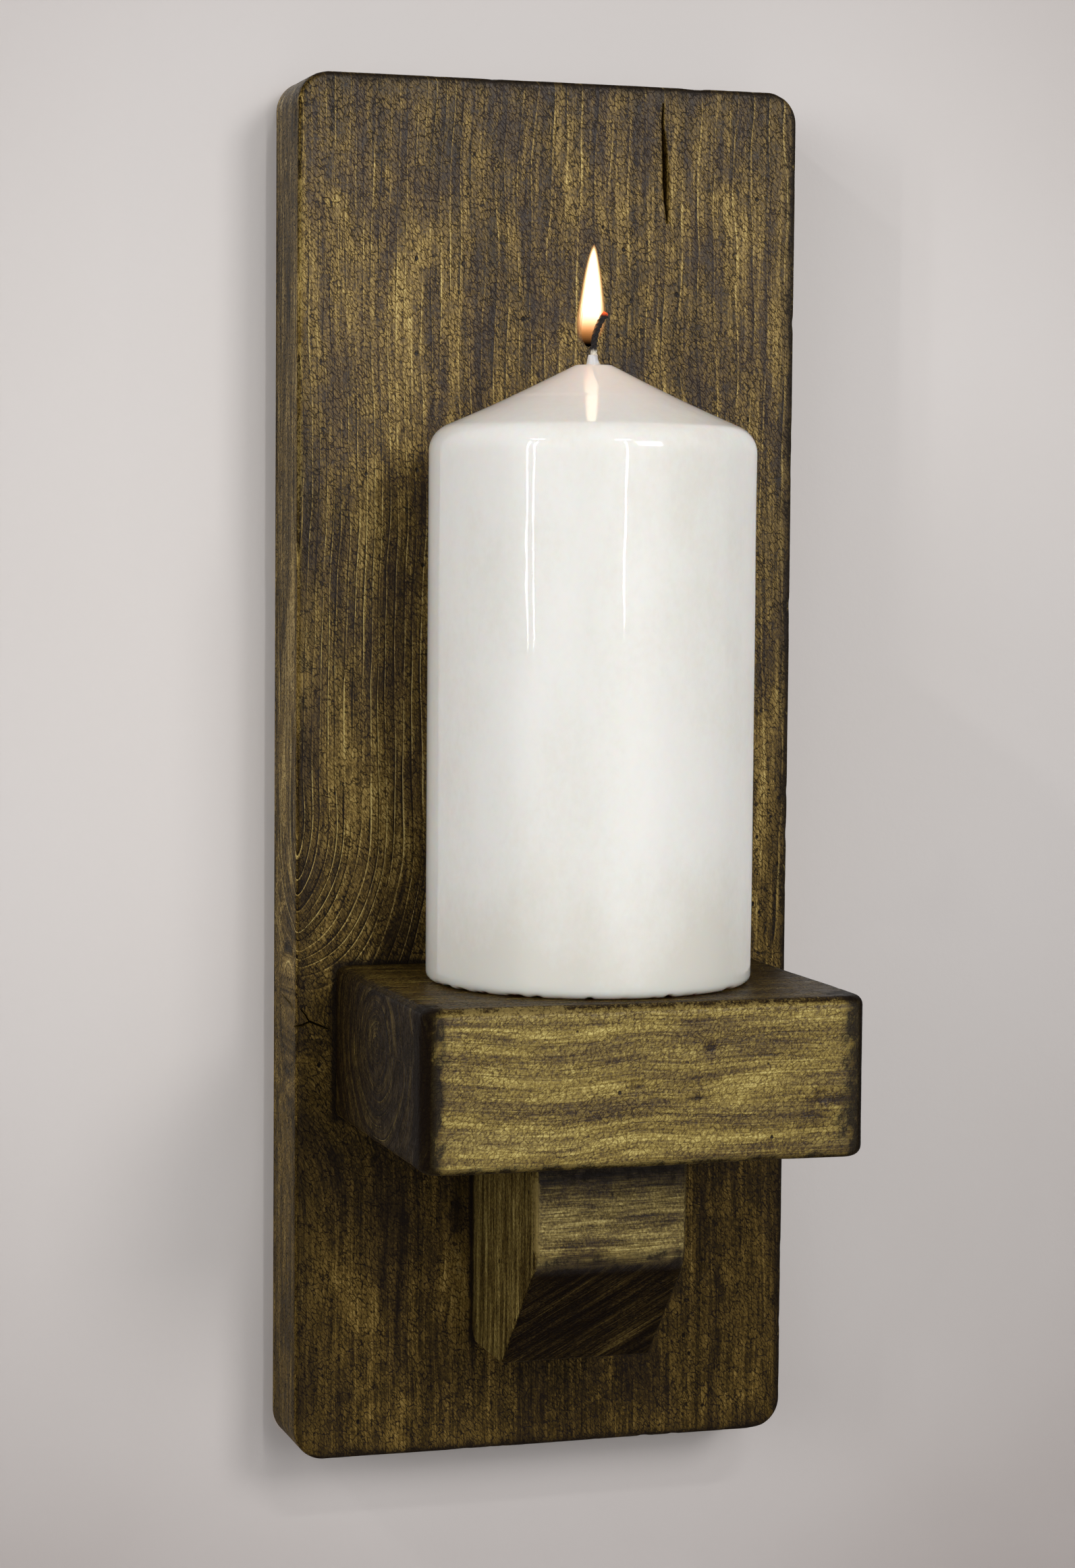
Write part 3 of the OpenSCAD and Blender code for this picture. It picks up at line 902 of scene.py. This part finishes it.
def make_shelf():
    """The block that the candle stands on, bored for its two screws."""
    piece = shelf_block()
    drill(piece, [hole(name + "_thread", name, 70.4 * MM) for name in LONG_SCREWS[:2]])
    q, n = each_point(piece, "co") / MM, each_point(piece, "normal")
    x, y, z = q.T
    radius, turn = shelf_grain(q)
    count, level = shelf_lines(q, n, radius / 2.1)
    strength = 1.2 - 0.6 * mostly(-n[:, 1]) + 1.6 * mostly(np.abs(n[:, 0]))
    flat = (np.maximum(-n[:, 1], n[:, 2]) > 0.7)[:, None]
    grain = np.where(flat, columns(level, 0.0, x), columns(radius, 0.0, turn * 1.4))
    finish = columns(shelf_grime_and_shade(q, n), shelf_wear_and_highlight(x, y, z), shelf_tone(q, n))
    keep_looks(piece, grain, (count, strength, 1.5), finish)
    keep_sheen(piece, n, 0.22, 0.02)
    wear_down(piece, shelf_relief(q, n))
    palette = ((20, 12, 6), (60, 45, 18), (110, 91, 42), (154, 134, 70), (204, 186, 114))
    material = wood("shelf_wood", palette, rings=0.12, fibre=0.24, blotch=0.24, speck=0.30, crackle=0.16,
                    gloss=0.38, patch_size=(4, 4, 40), crackle_size=(1.9, 1.2, 1.0))
    piece.data.materials.append(material)
    shade(piece)
    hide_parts("shelf")
    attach(piece, "sconce")


# ---------------------------------------------------------------- corbel

CORBEL_FACE, CORBEL_FOOT, CORBEL_BLEND, CORBEL_HEEL = 29.0, 27.0, 13.0, 5.0
CORBEL_DEEP, CORBEL_TALL = 55.0, 59.0


def corbel_depth(z):
    """How far the corbel stands out from the plank at this height, in mm."""
    drop = CORBEL.top - z
    slope = math.atan2(CORBEL_TALL - CORBEL_FACE, CORBEL_DEEP - CORBEL_FOOT)
    touch = CORBEL_BLEND * math.tan((math.pi / 2 - slope) / 2)
    centre = CORBEL_FACE - touch
    if drop < centre:
        return CORBEL_DEEP
    if drop < CORBEL_FACE + touch * math.sin(slope):
        over = min(drop - centre, CORBEL_BLEND)
        return CORBEL_DEEP - CORBEL_BLEND + math.sqrt(max(CORBEL_BLEND ** 2 - over ** 2, 0))
    return CORBEL_DEEP - (drop - CORBEL_FACE) / math.tan(slope)


def corbel_grain(q, n):
    """Grain that runs up the sides, across the front and slanting over the sawn slope."""
    x, y, z = q.T
    sway = 0.7 * ripple(q, (18, 18, 26), 71)
    down = 0.74 * (z - 0.9 * y)
    on_front = (-n[:, 1] > 0.88)[:, None]
    on_slope = ((-n[:, 2] > 0.4) & (np.abs(n[:, 0]) < 0.6))[:, None]
    upright = columns(x + sway, y + sway, z)
    slanting = columns(0.64 * down - 0.77 * x + 0.4 * sway, 0.0, 0.77 * down + 0.64 * x)
    return np.where(on_front, columns(z + sway, y, 2.2 * x), np.where(on_slope, slanting, upright))


def corbel_lines(q, n):
    """Upright rings on the sides, level ones on the front, slanting ones on the sawn slope."""
    x, y, z = q.T
    sway = 0.8 * ripple(q, 14, 72)
    on_side = mostly(np.abs(n[:, 0]))
    on_slope = smooth(-n[:, 2], 0.2, 0.6) * (1 - on_side)
    upright = (y + 1.6 * sway) / 2.6
    level = (z + 0.5 * sway) / 0.95
    slant = (0.64 * (z - 0.9 * y) * 0.74 - 0.77 * x + sway) / 0.8
    return upright * on_side + level * (1 - on_side - on_slope) + slant * on_slope


def corbel_finish_and_shade(q, n):
    """Painted shadow of the shelf on the front's top, dirt along the brow, a bare left arris, painted shade
    on the sides, and the dark sawn slope, darker partly in the wood and partly by painted shade.
    """
    x, y, z = q.T
    rag = wobble(q, 4, 81)
    on_front = smooth(-n[:, 1], 0.8, 0.95)
    on_slope = smooth(-n[:, 2], 0.25, 0.6) * smooth(-n[:, 1], 0.2, 0.5)
    on_side = mostly(np.abs(n[:, 0]))
    under = CORBEL.top - z
    # Painted shadow of the shelf across the top of the front.
    shaded = on_front * 0.72 * smooth(13 + rag - under, 0, 7)
    # The sawn slope: partly darker wood, partly painted shade of a face that looks down.
    sawn = on_slope * (0.25 + 0.4 * bell(z + 247.5, 3))
    brow = 0.6 * bell(under - 28 - rag, 2.2) * (1 - on_side)
    # Painted shade on the sides where they meet the plank and just under the shelf.
    side = on_side * np.maximum(fade(-25.4 - y, 1.8), 0.7 * np.exp(-under / 3))
    smudge = 0.8 * bell(np.hypot(x - 17.5, z + 246), 2.6)
    grime_and_shade = strongest(shaded, sawn, brow, side, smudge)
    rubbed = smooth(-y, 76, 79) * smooth(under, 5, 9) * smooth(28 - under, 0, 4)
    wear = np.maximum(0.9 * bell(x + 19.2, 1.2) * rubbed, 0.35 * on_side * bell(y + 78, 1.5))
    tone = 0.50 + 0.04 * wobble(q, (10, 10, 30), 82)
    # Painted shadow of the shelf: the front is darker at its top and lighter below.
    tone += on_front * (0.09 * smooth(under, 8, 14) - 0.17 * smooth(14 - under, 0, 6))
    # The slope is darker, partly by painted shade; the sides are darker by painted shade.
    tone -= on_slope * 0.36 + on_side * 0.05
    return columns(grime_and_shade, wear, tone)


def corbel_relief(q, n):
    """How far the corbel's surface lies inside the sawn block."""
    x, y, _ = q.T
    waves = 0.08 * (1 + wobble(q, (9, 9, 20), 91))
    near_arris = fade(CORBEL.right - np.abs(x), 1.2) * smooth(-y, 40, 60)
    chips = 0.35 * smooth(wobble(q, (3, 3, 4), 92), 0.1, 0.9) * near_arris
    return np.where((y < -25.6) & (n[:, 2] < 0.5), waves + chips, 0)


def corbel_block():
    """The corbel's outside: an upright face, a round brow, a sawn slope and an eased heel."""
    low, high = CORBEL_LOW, CORBEL_HIGH
    corner, arris, step, fine = 1.6 * MM, 0.45 * MM, 0.62 * MM, 0.4 * MM
    across = grid_lines(high.x - low.x, corner, step, fine)
    along = grid_lines(high.y - low.y, corner, step, fine)
    tall = high.z - low.z
    levels = []
    for height in level_depths(tall, arris, arris, step):
        inset = max(eased(height, arris), eased(tall - height, arris))
        front = high.y - corbel_depth((low.z + height) / MM) * MM + inset
        heel = eased(height, CORBEL_HEEL * MM)
        outline = (low.x + inset, high.x - inset, front, high.y - heel)
        radius = 0.7 + 0.7 * float(smooth(height / MM, 24, 34))
        levels.append((low.z + height, outline, (radius * MM, 0.4 * MM)))
    points, faces = stack(levels, across, along, corner)
    return add_object("corbel_block", points, faces)


def make_corbel():
    """The block under the shelf, bored for its two screws."""
    piece = corbel_block()
    drill(piece, [hole(name + "_thread", name, 60.4 * MM) for name in LONG_SCREWS[2:]])
    q, n = each_point(piece, "co") / MM, each_point(piece, "normal")
    strength = 1.0 + 0.4 * smooth(-n[:, 2], 0.2, 0.6)
    keep_looks(piece, corbel_grain(q, n), (corbel_lines(q, n), strength, 1.55), corbel_finish_and_shade(q, n))
    keep_sheen(piece, n, 0.2, 0.01)
    wear_down(piece, corbel_relief(q, n))
    palette = ((14, 8, 4), (50, 38, 16), (95, 79, 40), (142, 124, 70), (194, 176, 112))
    material = wood("corbel_wood", palette, rings=0.16, fibre=0.34, blotch=0.16, speck=0.28, crackle=0.06,
                    gloss=0.42, patch_size=(6, 6, 20))
    piece.data.materials.append(material)
    shade(piece)
    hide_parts("corbel")
    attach(piece, "sconce")


# ---------------------------------------------------------------- candle

SEAT = Vector(((WAX_LOW.x + WAX_HIGH.x) / 2, (WAX_LOW.y + WAX_HIGH.y) / 2, WAX_LOW.z))
CANDLE_TALL, CONE_TALL, TIP_R, SHOULDER_R, FOOT_R = 150.0, 17.0, 4.5, 7.0, 2.0
WICK_R, WICK_HOLE_R = 0.9, 0.95


def candle_profile():
    """(radius, height) in mm, from the wick's hole in the base, up the outside and back down the hole."""
    radius = (WAX_HIGH.x - WAX_LOW.x) / 2 / MM
    cone = math.atan2(CONE_TALL, radius - TIP_R)
    shoulder = CANDLE_TALL - CONE_TALL - SHOULDER_R * math.tan((math.pi / 2 - cone) / 2)
    line = [(r, 0.0) for r in np.linspace(WICK_HOLE_R, radius - FOOT_R, 26)]
    for turn in np.linspace(0.2, math.pi / 2, 6):
        line.append((radius - FOOT_R + FOOT_R * math.sin(turn), FOOT_R - FOOT_R * math.cos(turn)))
    line += [(radius, h) for h in np.linspace(FOOT_R, shoulder, 118)[1:]]
    middle = radius - SHOULDER_R
    for turn in np.linspace(0, math.pi / 2 - cone, 14)[1:]:
        line.append((middle + SHOULDER_R * math.cos(turn), shoulder + SHOULDER_R * math.sin(turn)))
    start_r, start_h = line[-1]
    rim_h = CANDLE_TALL - 0.25
    for share in np.linspace(0, 1, 40)[1:]:
        hollow = 0.35 * math.sin(math.pi * share)
        line.append((start_r + (TIP_R - start_r) * share, start_h + (rim_h - start_h) * share - hollow))
    line += [(r, rim_h + 0.25 * (1 - r / TIP_R)) for r in (4.0, 3.2, 2.4, 1.9)]
    line += [(r, CANDLE_TALL + h) for r, h in ((1.55, 0.35), (1.35, 1.1), (1.2, 1.8), (1.05, 2.25))]
    line += [(WICK_HOLE_R, CANDLE_TALL + h) for h in (2.3, 0.0, -50.0, -100.0)]
    return line


def wax_material():
    """Glossy ivory wax, cloudy inside, with painted shade darkening its foot and a painted rosy glow of the
    flame near its top.
    """
    s = Shader("ivory_wax")
    place_at = s.position()
    height = s.split(place_at)[2]
    cloud = s.cells(place_at, (24, 24, 40), 3.0, 0.55)
    grainy = s.cells(place_at, (1.6, 1.6, 2.4), 3.0, 0.6)
    ripples = s.cells(place_at, (9, 9, 26), 2.0, 0.5)
    # Painted shade: the wax is darker over its lowest 40 mm.
    low = s.step(height, WAX_LOW.z, WAX_LOW.z + 40 * MM, 1.0, 0.0)
    # Painted light: a rosy glow from the flame on the wax near the top.
    painted_flame_glow = s.step(height, WAX_HIGH.z - 22 * MM, WAX_HIGH.z, 0.0, 1.0)
    value = s.total(0.5, (s.swing(cloud), 0.6), (s.swing(grainy), 0.25), (low, -0.35))
    ivory = ((226, 223, 214), (237, 236, 231), (243, 242, 239))
    colour = s.ramp(value, [(at, srgb(*tone)) for at, tone in zip((0.2, 0.5, 0.8), ivory)])
    colour = s.blend(s.times(painted_flame_glow, 0.8), colour, srgb(246, 226, 214))
    relief = s.total((grainy, 0.05), (ripples, 1.0))
    rough = s.total(0.045, (s.swing(cloud), 0.08), (s.swing(grainy), 0.06))
    surface = s.principled(Base_Color=colour, Roughness=rough, Subsurface_Weight=0.55,
                           Subsurface_Radius=(1.0, 0.62, 0.42), Subsurface_Scale=7 * MM, IOR=1.44,
                           Normal=s.bump(relief, 0.22, 0.4))
    return s.finish(surface)


def make_candle():
    """The wax, cast in a smooth mould, with a chipped foot and a bead of wax round the wick."""
    points, faces = revolve([(r * MM, h * MM) for r, h in candle_profile()], 300, closed=True)
    x, y, height = (points / MM).T
    radius, turn = np.hypot(x, y), np.arctan2(y, x)
    around = columns(np.cos(turn) * 12, np.sin(turn) * 12, height / 3)
    chips = 0.9 * smooth(lattice(around, 101), 0.15, 0.9) * bell(height, 0.9) * (radius > 36)
    lift = 0.55 * smooth(lattice(around * (1.7, 1.7, 0), 102), 0.2, 0.9) * bell(height, 0.6) * (radius > 36)
    swell = lattice(columns(np.cos(turn) * 2, np.sin(turn) * 2, height / 28), 103)
    swell = 0.10 * (1 + swell) * (radius > 20)
    points[:, :2] *= (1 - (chips + swell) / np.maximum(radius, 1))[:, None]
    points[:, 2] += lift * MM
    bead = smooth(height, CANDLE_TALL + 0.1, CANDLE_TALL + 0.6) * (radius > WICK_R + 0.08)
    points[:, 0] -= bead * 0.25 * MM
    piece = add_object("pillar_candle", points + np.array(SEAT), faces)
    piece.data.materials.append(wax_material())
    shade(piece, 50)
    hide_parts("candle_wax")
    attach(piece, "candle")


WICK_STRAIGHT, WICK_BEND_R, WICK_LEAN = 4.0, 13.0, math.radians(40)


def wick_path():
    """The wick's centre line in mm above the candle's seat: (x, height, lean)."""
    rows = [(0.0, h, 0.0) for h in np.linspace(0, CANDLE_TALL - 4, 40)]
    rows += [(0.0, h, 0.0) for h in np.linspace(CANDLE_TALL - 4, CANDLE_TALL + WICK_STRAIGHT, 18)[1:]]
    bend = CANDLE_TALL + WICK_STRAIGHT
    for t in np.linspace(0, WICK_LEAN, 26)[1:]:
        rows.append((WICK_BEND_R * (1 - math.cos(t)), bend + WICK_BEND_R * math.sin(t), t))
    return rows


def wick_material():
    """Waxed cotton that is charred black above the wax and still glows at its tip."""
    s = Shader("burnt_wick")
    place_at = s.position()
    height = s.split(place_at)[2]
    ash = s.cells(place_at, (0.35, 0.35, 0.5), 3.0, 0.65)
    charred = s.step(s.total(height, (ash, 1.5 * MM)), WAX_HIGH.z + 1.0 * MM, WAX_HIGH.z + 2.2 * MM)
    burnt = s.ramp(ash, [(0.35, srgb(10, 8, 8)), (0.6, srgb(34, 27, 25)), (0.8, srgb(70, 60, 54))])
    colour = s.blend(charred, srgb(226, 218, 200), burnt)
    glow = s.step(s.total(height, (ash, 0.8 * MM)), WICK_HIGH.z - 1.0 * MM, WICK_HIGH.z + 0.4 * MM)
    surface = s.principled(Base_Color=colour, Roughness=0.9, Normal=s.bump(ash, 0.12, 0.9),
                           Emission_Color=srgb(255, 92, 22), Emission_Strength=s.times(glow, 1.6))
    return s.finish(surface)


STRAND_SIDES, STRAND_R, STRAND_SPREAD, STRAND_PITCH = 10, 0.52, 0.36, 3.6


def strand_points(strand, rows, top):
    """The rings of points round one strand that winds about the wick's centre line."""
    points = []
    for x, h, lean in rows:
        angle = 2 * math.pi * (strand / 3 + h / STRAND_PITCH)
        side, front = STRAND_SPREAD * math.cos(angle), STRAND_SPREAD * math.sin(angle)
        radius = STRAND_R * (1 + 0.12 * math.sin(7.3 * h + strand))
        for k in range(STRAND_SIDES):
            t = 2 * math.pi * k / STRAND_SIDES
            a, b = side + radius * math.cos(t), front + radius * math.sin(t)
            points.append((x + a * math.cos(lean), b, min(h - a * math.sin(lean), top)))
    return points


def make_wick():
    """A flat braid: three strands that wind round one another inside the wick's outline."""
    points, faces = [], []
    rows = wick_path()
    top = (WICK_HIGH.z - WICK_LOW.z) / MM - 0.05
    for strand in range(3):
        first = len(points)
        points += strand_points(strand, rows, top)
        for base in range(first, len(points) - STRAND_SIDES, STRAND_SIDES):
            steps = [(base + k, base + (k + 1) % STRAND_SIDES) for k in range(STRAND_SIDES)]
            faces += [(a, b, b + STRAND_SIDES, a + STRAND_SIDES) for a, b in steps]
        faces.append(tuple(range(first, first + STRAND_SIDES)))
        faces.append(tuple(range(len(points) - STRAND_SIDES, len(points))))
    piece = add_object("braided_wick", np.array(points) * MM + np.array(SEAT), faces)
    piece.data.materials.append(wick_material())
    shade(piece, 60)
    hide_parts("wick")
    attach(piece, "candle")


# ---------------------------------------------------------------- flame

FLAME_SHELLS = (
    # share of the width, height of the tip, colour at the tip, strength, cover
    (1.00, 22.3, (255, 176, 96), 1.1, 0.10),
    (0.92, 22.0, (255, 205, 140), 1.6, 0.22),
    (0.83, 21.5, (255, 226, 178), 2.4, 0.40),
    (0.72, 20.8, (255, 240, 210), 4.0, 0.65),
    (0.58, 19.8, (255, 247, 230), 7.0, 0.9),
)
FLAME_FOOT = WICK_HIGH.z - 6.2 * MM
FLAME_WIDE = 7.5
# (share of the height, share of the half width)
FLAME_OUTLINE = ((-0.13, 0), (-0.11, 0.35), (-0.06, 0.66), (0, 0.86), (0.06, 0.97), (0.12, 1.0),
                 (0.2, 0.985), (0.3, 0.91), (0.4, 0.82), (0.5, 0.735), (0.6, 0.645), (0.7, 0.54),
                 (0.8, 0.415), (0.88, 0.30), (0.94, 0.19), (0.98, 0.09), (1.0, 0))


def flame_material(index, colour, strength, cover):
    """One shell of the flame: it glows, and thins to nothing round the wick."""
    s = Shader(f"flame_{index}")
    height = s.split(s.position())[2]
    full = FLAME_FOOT + 9.0 * MM
    seen = s.step(height, FLAME_FOOT - 2.0 * MM, FLAME_FOOT + 8.5 * MM, 0.0, cover)
    warm = s.step(height, FLAME_FOOT, full)
    shade_of = s.blend(warm, srgb(255, 168, 92), srgb(*colour))
    power = s.step(height, FLAME_FOOT, full, 0.8, strength)
    glow = s.node("ShaderNodeEmission", {"Color": shade_of, "Strength": power}).outputs[0]
    clear = s.node("ShaderNodeBsdfTransparent", {}).outputs[0]
    return s.finish(s.node("ShaderNodeMixShader", {0: seen, 1: clear, 2: glow}).outputs[0])


def make_flame():
    """Nested shells of a tall drop that is widest near its foot and leans a little to the right."""
    for index, (wide, tall, colour, strength, cover) in enumerate(FLAME_SHELLS):
        half = FLAME_WIDE / 2 * wide * MM
        profile = [(radius * half, share * tall * MM) for share, radius in FLAME_OUTLINE]
        points, faces = revolve(profile, 32)
        rise = points[:, 2] / MM
        points[:, 0] += (-0.75 + 0.052 * rise + 0.15 * np.sin(rise / 4.2)) * MM
        points[:, 1] = points[:, 1] * 0.55 + 1.3 * MM
        points += np.array((SEAT.x, SEAT.y, FLAME_FOOT))
        piece = add_object(f"flame_shell_{index}", points, faces)
        piece.data.materials.append(flame_material(index, colour, strength, cover))
        shade(piece, 80)
        piece.visible_shadow = False
        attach(piece, "candle")


# ---------------------------------------------------------------- metal

def metal(name, light, dark, rough):
    """Plated steel with fine scratches, dull spots and darker hollows."""
    s = Shader(name)
    place_at = s.position()
    dull = s.cells(place_at, (2.2, 2.2, 2.2), 4.0, 0.6)
    scratch = s.noise(s.stretch(s.turn(place_at, 27), (0.16, 0.16, 6)), 2.0, 0.5)
    grains = s.cells(place_at, (0.5, 0.5, 0.5), 2.0)
    colour = s.ramp(s.total((dull, 0.7), (grains, 0.3)), [(0.35, srgb(*dark)), (0.62, srgb(*light))])
    roughness = s.total(rough, (s.swing(dull), 0.4), (s.swing(scratch), 0.25))
    relief = s.total((scratch, 0.5), (grains, 0.5))
    return s.finish(s.principled(Base_Color=colour, Metallic=1.0, Roughness=roughness,
                                 Normal=s.bump(relief, 0.03, 0.6)))


def dress(node, material):
    """Gives a CAD node its material."""
    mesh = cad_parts[node].data
    mesh.materials.clear()
    mesh.materials.append(material)


# ---------------------------------------------------------------- stage, light and camera

def plaster():
    """A pale wall, darkened away from the object by painted shade, that is only there from its front, so that
    the object's back can be seen.
    """
    s = Shader("pale_plaster")
    place_at = s.position()
    cloud = s.cells(place_at, (130, 130, 130), 3.0, 0.5)
    tooth = s.cells(place_at, (2.4, 2.4, 2.4), 4.0, 0.6)
    colour = s.ramp(cloud, [(0.3, srgb(212, 207, 205)), (0.7, srgb(222, 217, 214))])
    # Painted shade: the wall gets darker away from the object.
    across, _, height = s.split(place_at)
    away = s.total((s.reach_squared(across, 0.01, 0.16), 0.3), (s.reach_squared(height, -0.10, 0.20), 0.5))
    painted_vignette = s.total((s.step(away, 0.0, 1.3), 0.85), (s.swing(cloud), 0.6))
    colour = s.blend(s.math("MULTIPLY", painted_vignette, 1.0, clamp=True), colour, srgb(166, 157, 154))
    front = s.principled(Base_Color=colour, Roughness=0.85, Normal=s.bump(tooth, 0.12, 0.5))
    clear = s.node("ShaderNodeBsdfTransparent", {}).outputs[0]
    behind = s.node("ShaderNodeNewGeometry", {}).outputs["Backfacing"]
    return s.finish(s.node("ShaderNodeMixShader", {0: behind, 1: front, 2: clear}).outputs[0])


def pale_floor():
    s = Shader("pale_floor")
    cloud = s.noise(s.stretch(s.position(), (160, 160, 160)), 3.0, 0.5)
    colour = s.ramp(cloud, [(0.3, srgb(208, 203, 198)), (0.7, srgb(216, 211, 206))])
    return s.finish(s.principled(Base_Color=colour, Roughness=0.8))


def make_stage():
    """A wall just behind the plank's back and a floor far below."""
    wide, deep, top, floor_z, wall_y = 2.2, 2.2, 2.0, -1.3, 0.4 * MM
    wall = add_object("wall", [(-wide, wall_y, floor_z), (wide, wall_y, floor_z), (wide, wall_y, top),
                               (-wide, wall_y, top)], [(0, 1, 2, 3)])
    if wall.data.polygons[0].normal.y > 0:
        wall.data.flip_normals()
    wall.data.materials.append(plaster())
    floor = add_object("floor", [(-wide, -deep, floor_z), (wide, -deep, floor_z), (wide, deep, floor_z),
                                 (-wide, deep, floor_z)], [(0, 1, 2, 3)])
    floor.data.materials.append(pale_floor())
    wall.visible_shadow = False


WHITE = (1.0, 1.0, 1.0)
ON_OBJECT, ON_FLOOR = (-0.05, -0.03, -0.07), (0, 1.0, -1.3)
LIGHTS = (
    # name, degrees right of the front, degrees up, distance, size, power, colour, spread, target
    ("front_fill", 12, 9, 2.0, (2.2, 1.6), 1.85, (0.995, 0.99, 0.985), 58, ON_OBJECT),
    ("key", 24, 22, 2.1, (0.6, 0.6), 1.35, (1.0, 0.985, 0.97), 58, ON_OBJECT),
    ("window_bright", 6, 13, 1.9, (0.03, 1.0), 0.56, WHITE, 58, ON_OBJECT),
    ("window_bright_top", 6, 36, 1.9, (0.36, 0.07), 0.36, WHITE, 58, ON_OBJECT),
    ("window_left_top", -59, 36, 2.0, (0.3, 0.06), 0.34, WHITE, 58, ON_OBJECT),
    ("window_left", -57, 13, 2.0, (0.025, 1.1), 0.42, WHITE, 58, ON_OBJECT),
    ("window_far_left", -62, 13, 2.0, (0.04, 1.1), 0.34, WHITE, 58, ON_OBJECT),
    ("left_fill", -52, 11, 2.5, (3.2, 2.2), 3.8, (0.98, 0.99, 1.0), 58, ON_OBJECT),
    ("right_fill", 78, 10, 2.5, (2.4, 2.0), 0.6, (1.0, 0.995, 0.985), 58, ON_OBJECT),
    ("back_fill", 176, 12, 2.4, (2.0, 2.0), 24, WHITE, 110, ON_OBJECT),
    ("floor_wash", 180, 50, 1.6, (1.6, 1.6), 34, WHITE, 90, ON_FLOOR),
)


def place_light(name, azimuth, elevation, reach, size, power, colour, spread, target):
    """An area light that looks at its target."""
    turn, rise = math.radians(azimuth), math.radians(elevation)
    away = Vector((math.sin(turn) * math.cos(rise), -math.cos(turn) * math.cos(rise), math.sin(rise)))
    data = bpy.data.lights.new(name, "AREA")
    data.spread = math.radians(spread)
    data.shape = "RECTANGLE"
    data.size, data.size_y = size
    data.energy = power
    data.color = colour
    light = bpy.data.objects.new(name, data)
    bpy.context.scene.collection.objects.link(light)
    light.location = Vector(target) + away * reach
    light.rotation_euler = (-away).to_track_quat("-Z", "Y").to_euler()


def make_lights():
    """A dim world, soft lights all round, a key from the upper right, and window-like strips for the wax."""
    world = bpy.data.worlds.new("studio")
    bpy.context.scene.world = world
    world.use_nodes = True
    background = world.node_tree.nodes["Background"]
    background.inputs["Color"].default_value = (0.95, 0.97, 1.0, 1)
    background.inputs["Strength"].default_value = 0.15
    for light in LIGHTS:
        place_light(*light)


def make_camera():
    """At the photographed viewing angle, a little below the plank's top and to its left."""
    yaw, pitch, roll = (math.radians(angle) for angle in (17.17, -4.09, 0.48))
    forward = Vector((math.sin(yaw) * math.cos(pitch), math.cos(yaw) * math.cos(pitch), math.sin(pitch)))
    level = Vector((math.cos(yaw), -math.sin(yaw), 0))
    upward = level.cross(forward)
    right = math.cos(roll) * level + math.sin(roll) * upward
    up = -math.sin(roll) * level + math.cos(roll) * upward
    data = bpy.data.cameras.new("camera")
    data.sensor_width = 36
    data.lens = 78.9
    camera = bpy.data.objects.new("camera", data)
    camera.matrix_world = Matrix.Translation((-0.2618, -0.8629, -0.0702)) @ Matrix(
        (right, up, -forward)).transposed().to_4x4()
    bpy.context.scene.collection.objects.link(camera)
    bpy.context.scene.camera = camera


make_camera()
make_lights()
make_stage()
make_board()
make_shelf()
make_corbel()
make_candle()
make_wick()
make_flame()
zinc = metal("zinc_plate", (196, 200, 206), (128, 132, 138), 0.38)
bright = metal("bright_screw", (206, 202, 190), (140, 134, 120), 0.32)
dress("hanger_plate", zinc)
for screw in LONG_SCREWS + SHORT_SCREWS:
    dress(screw, bright)
bpy.context.scene.view_settings.view_transform = "Standard"
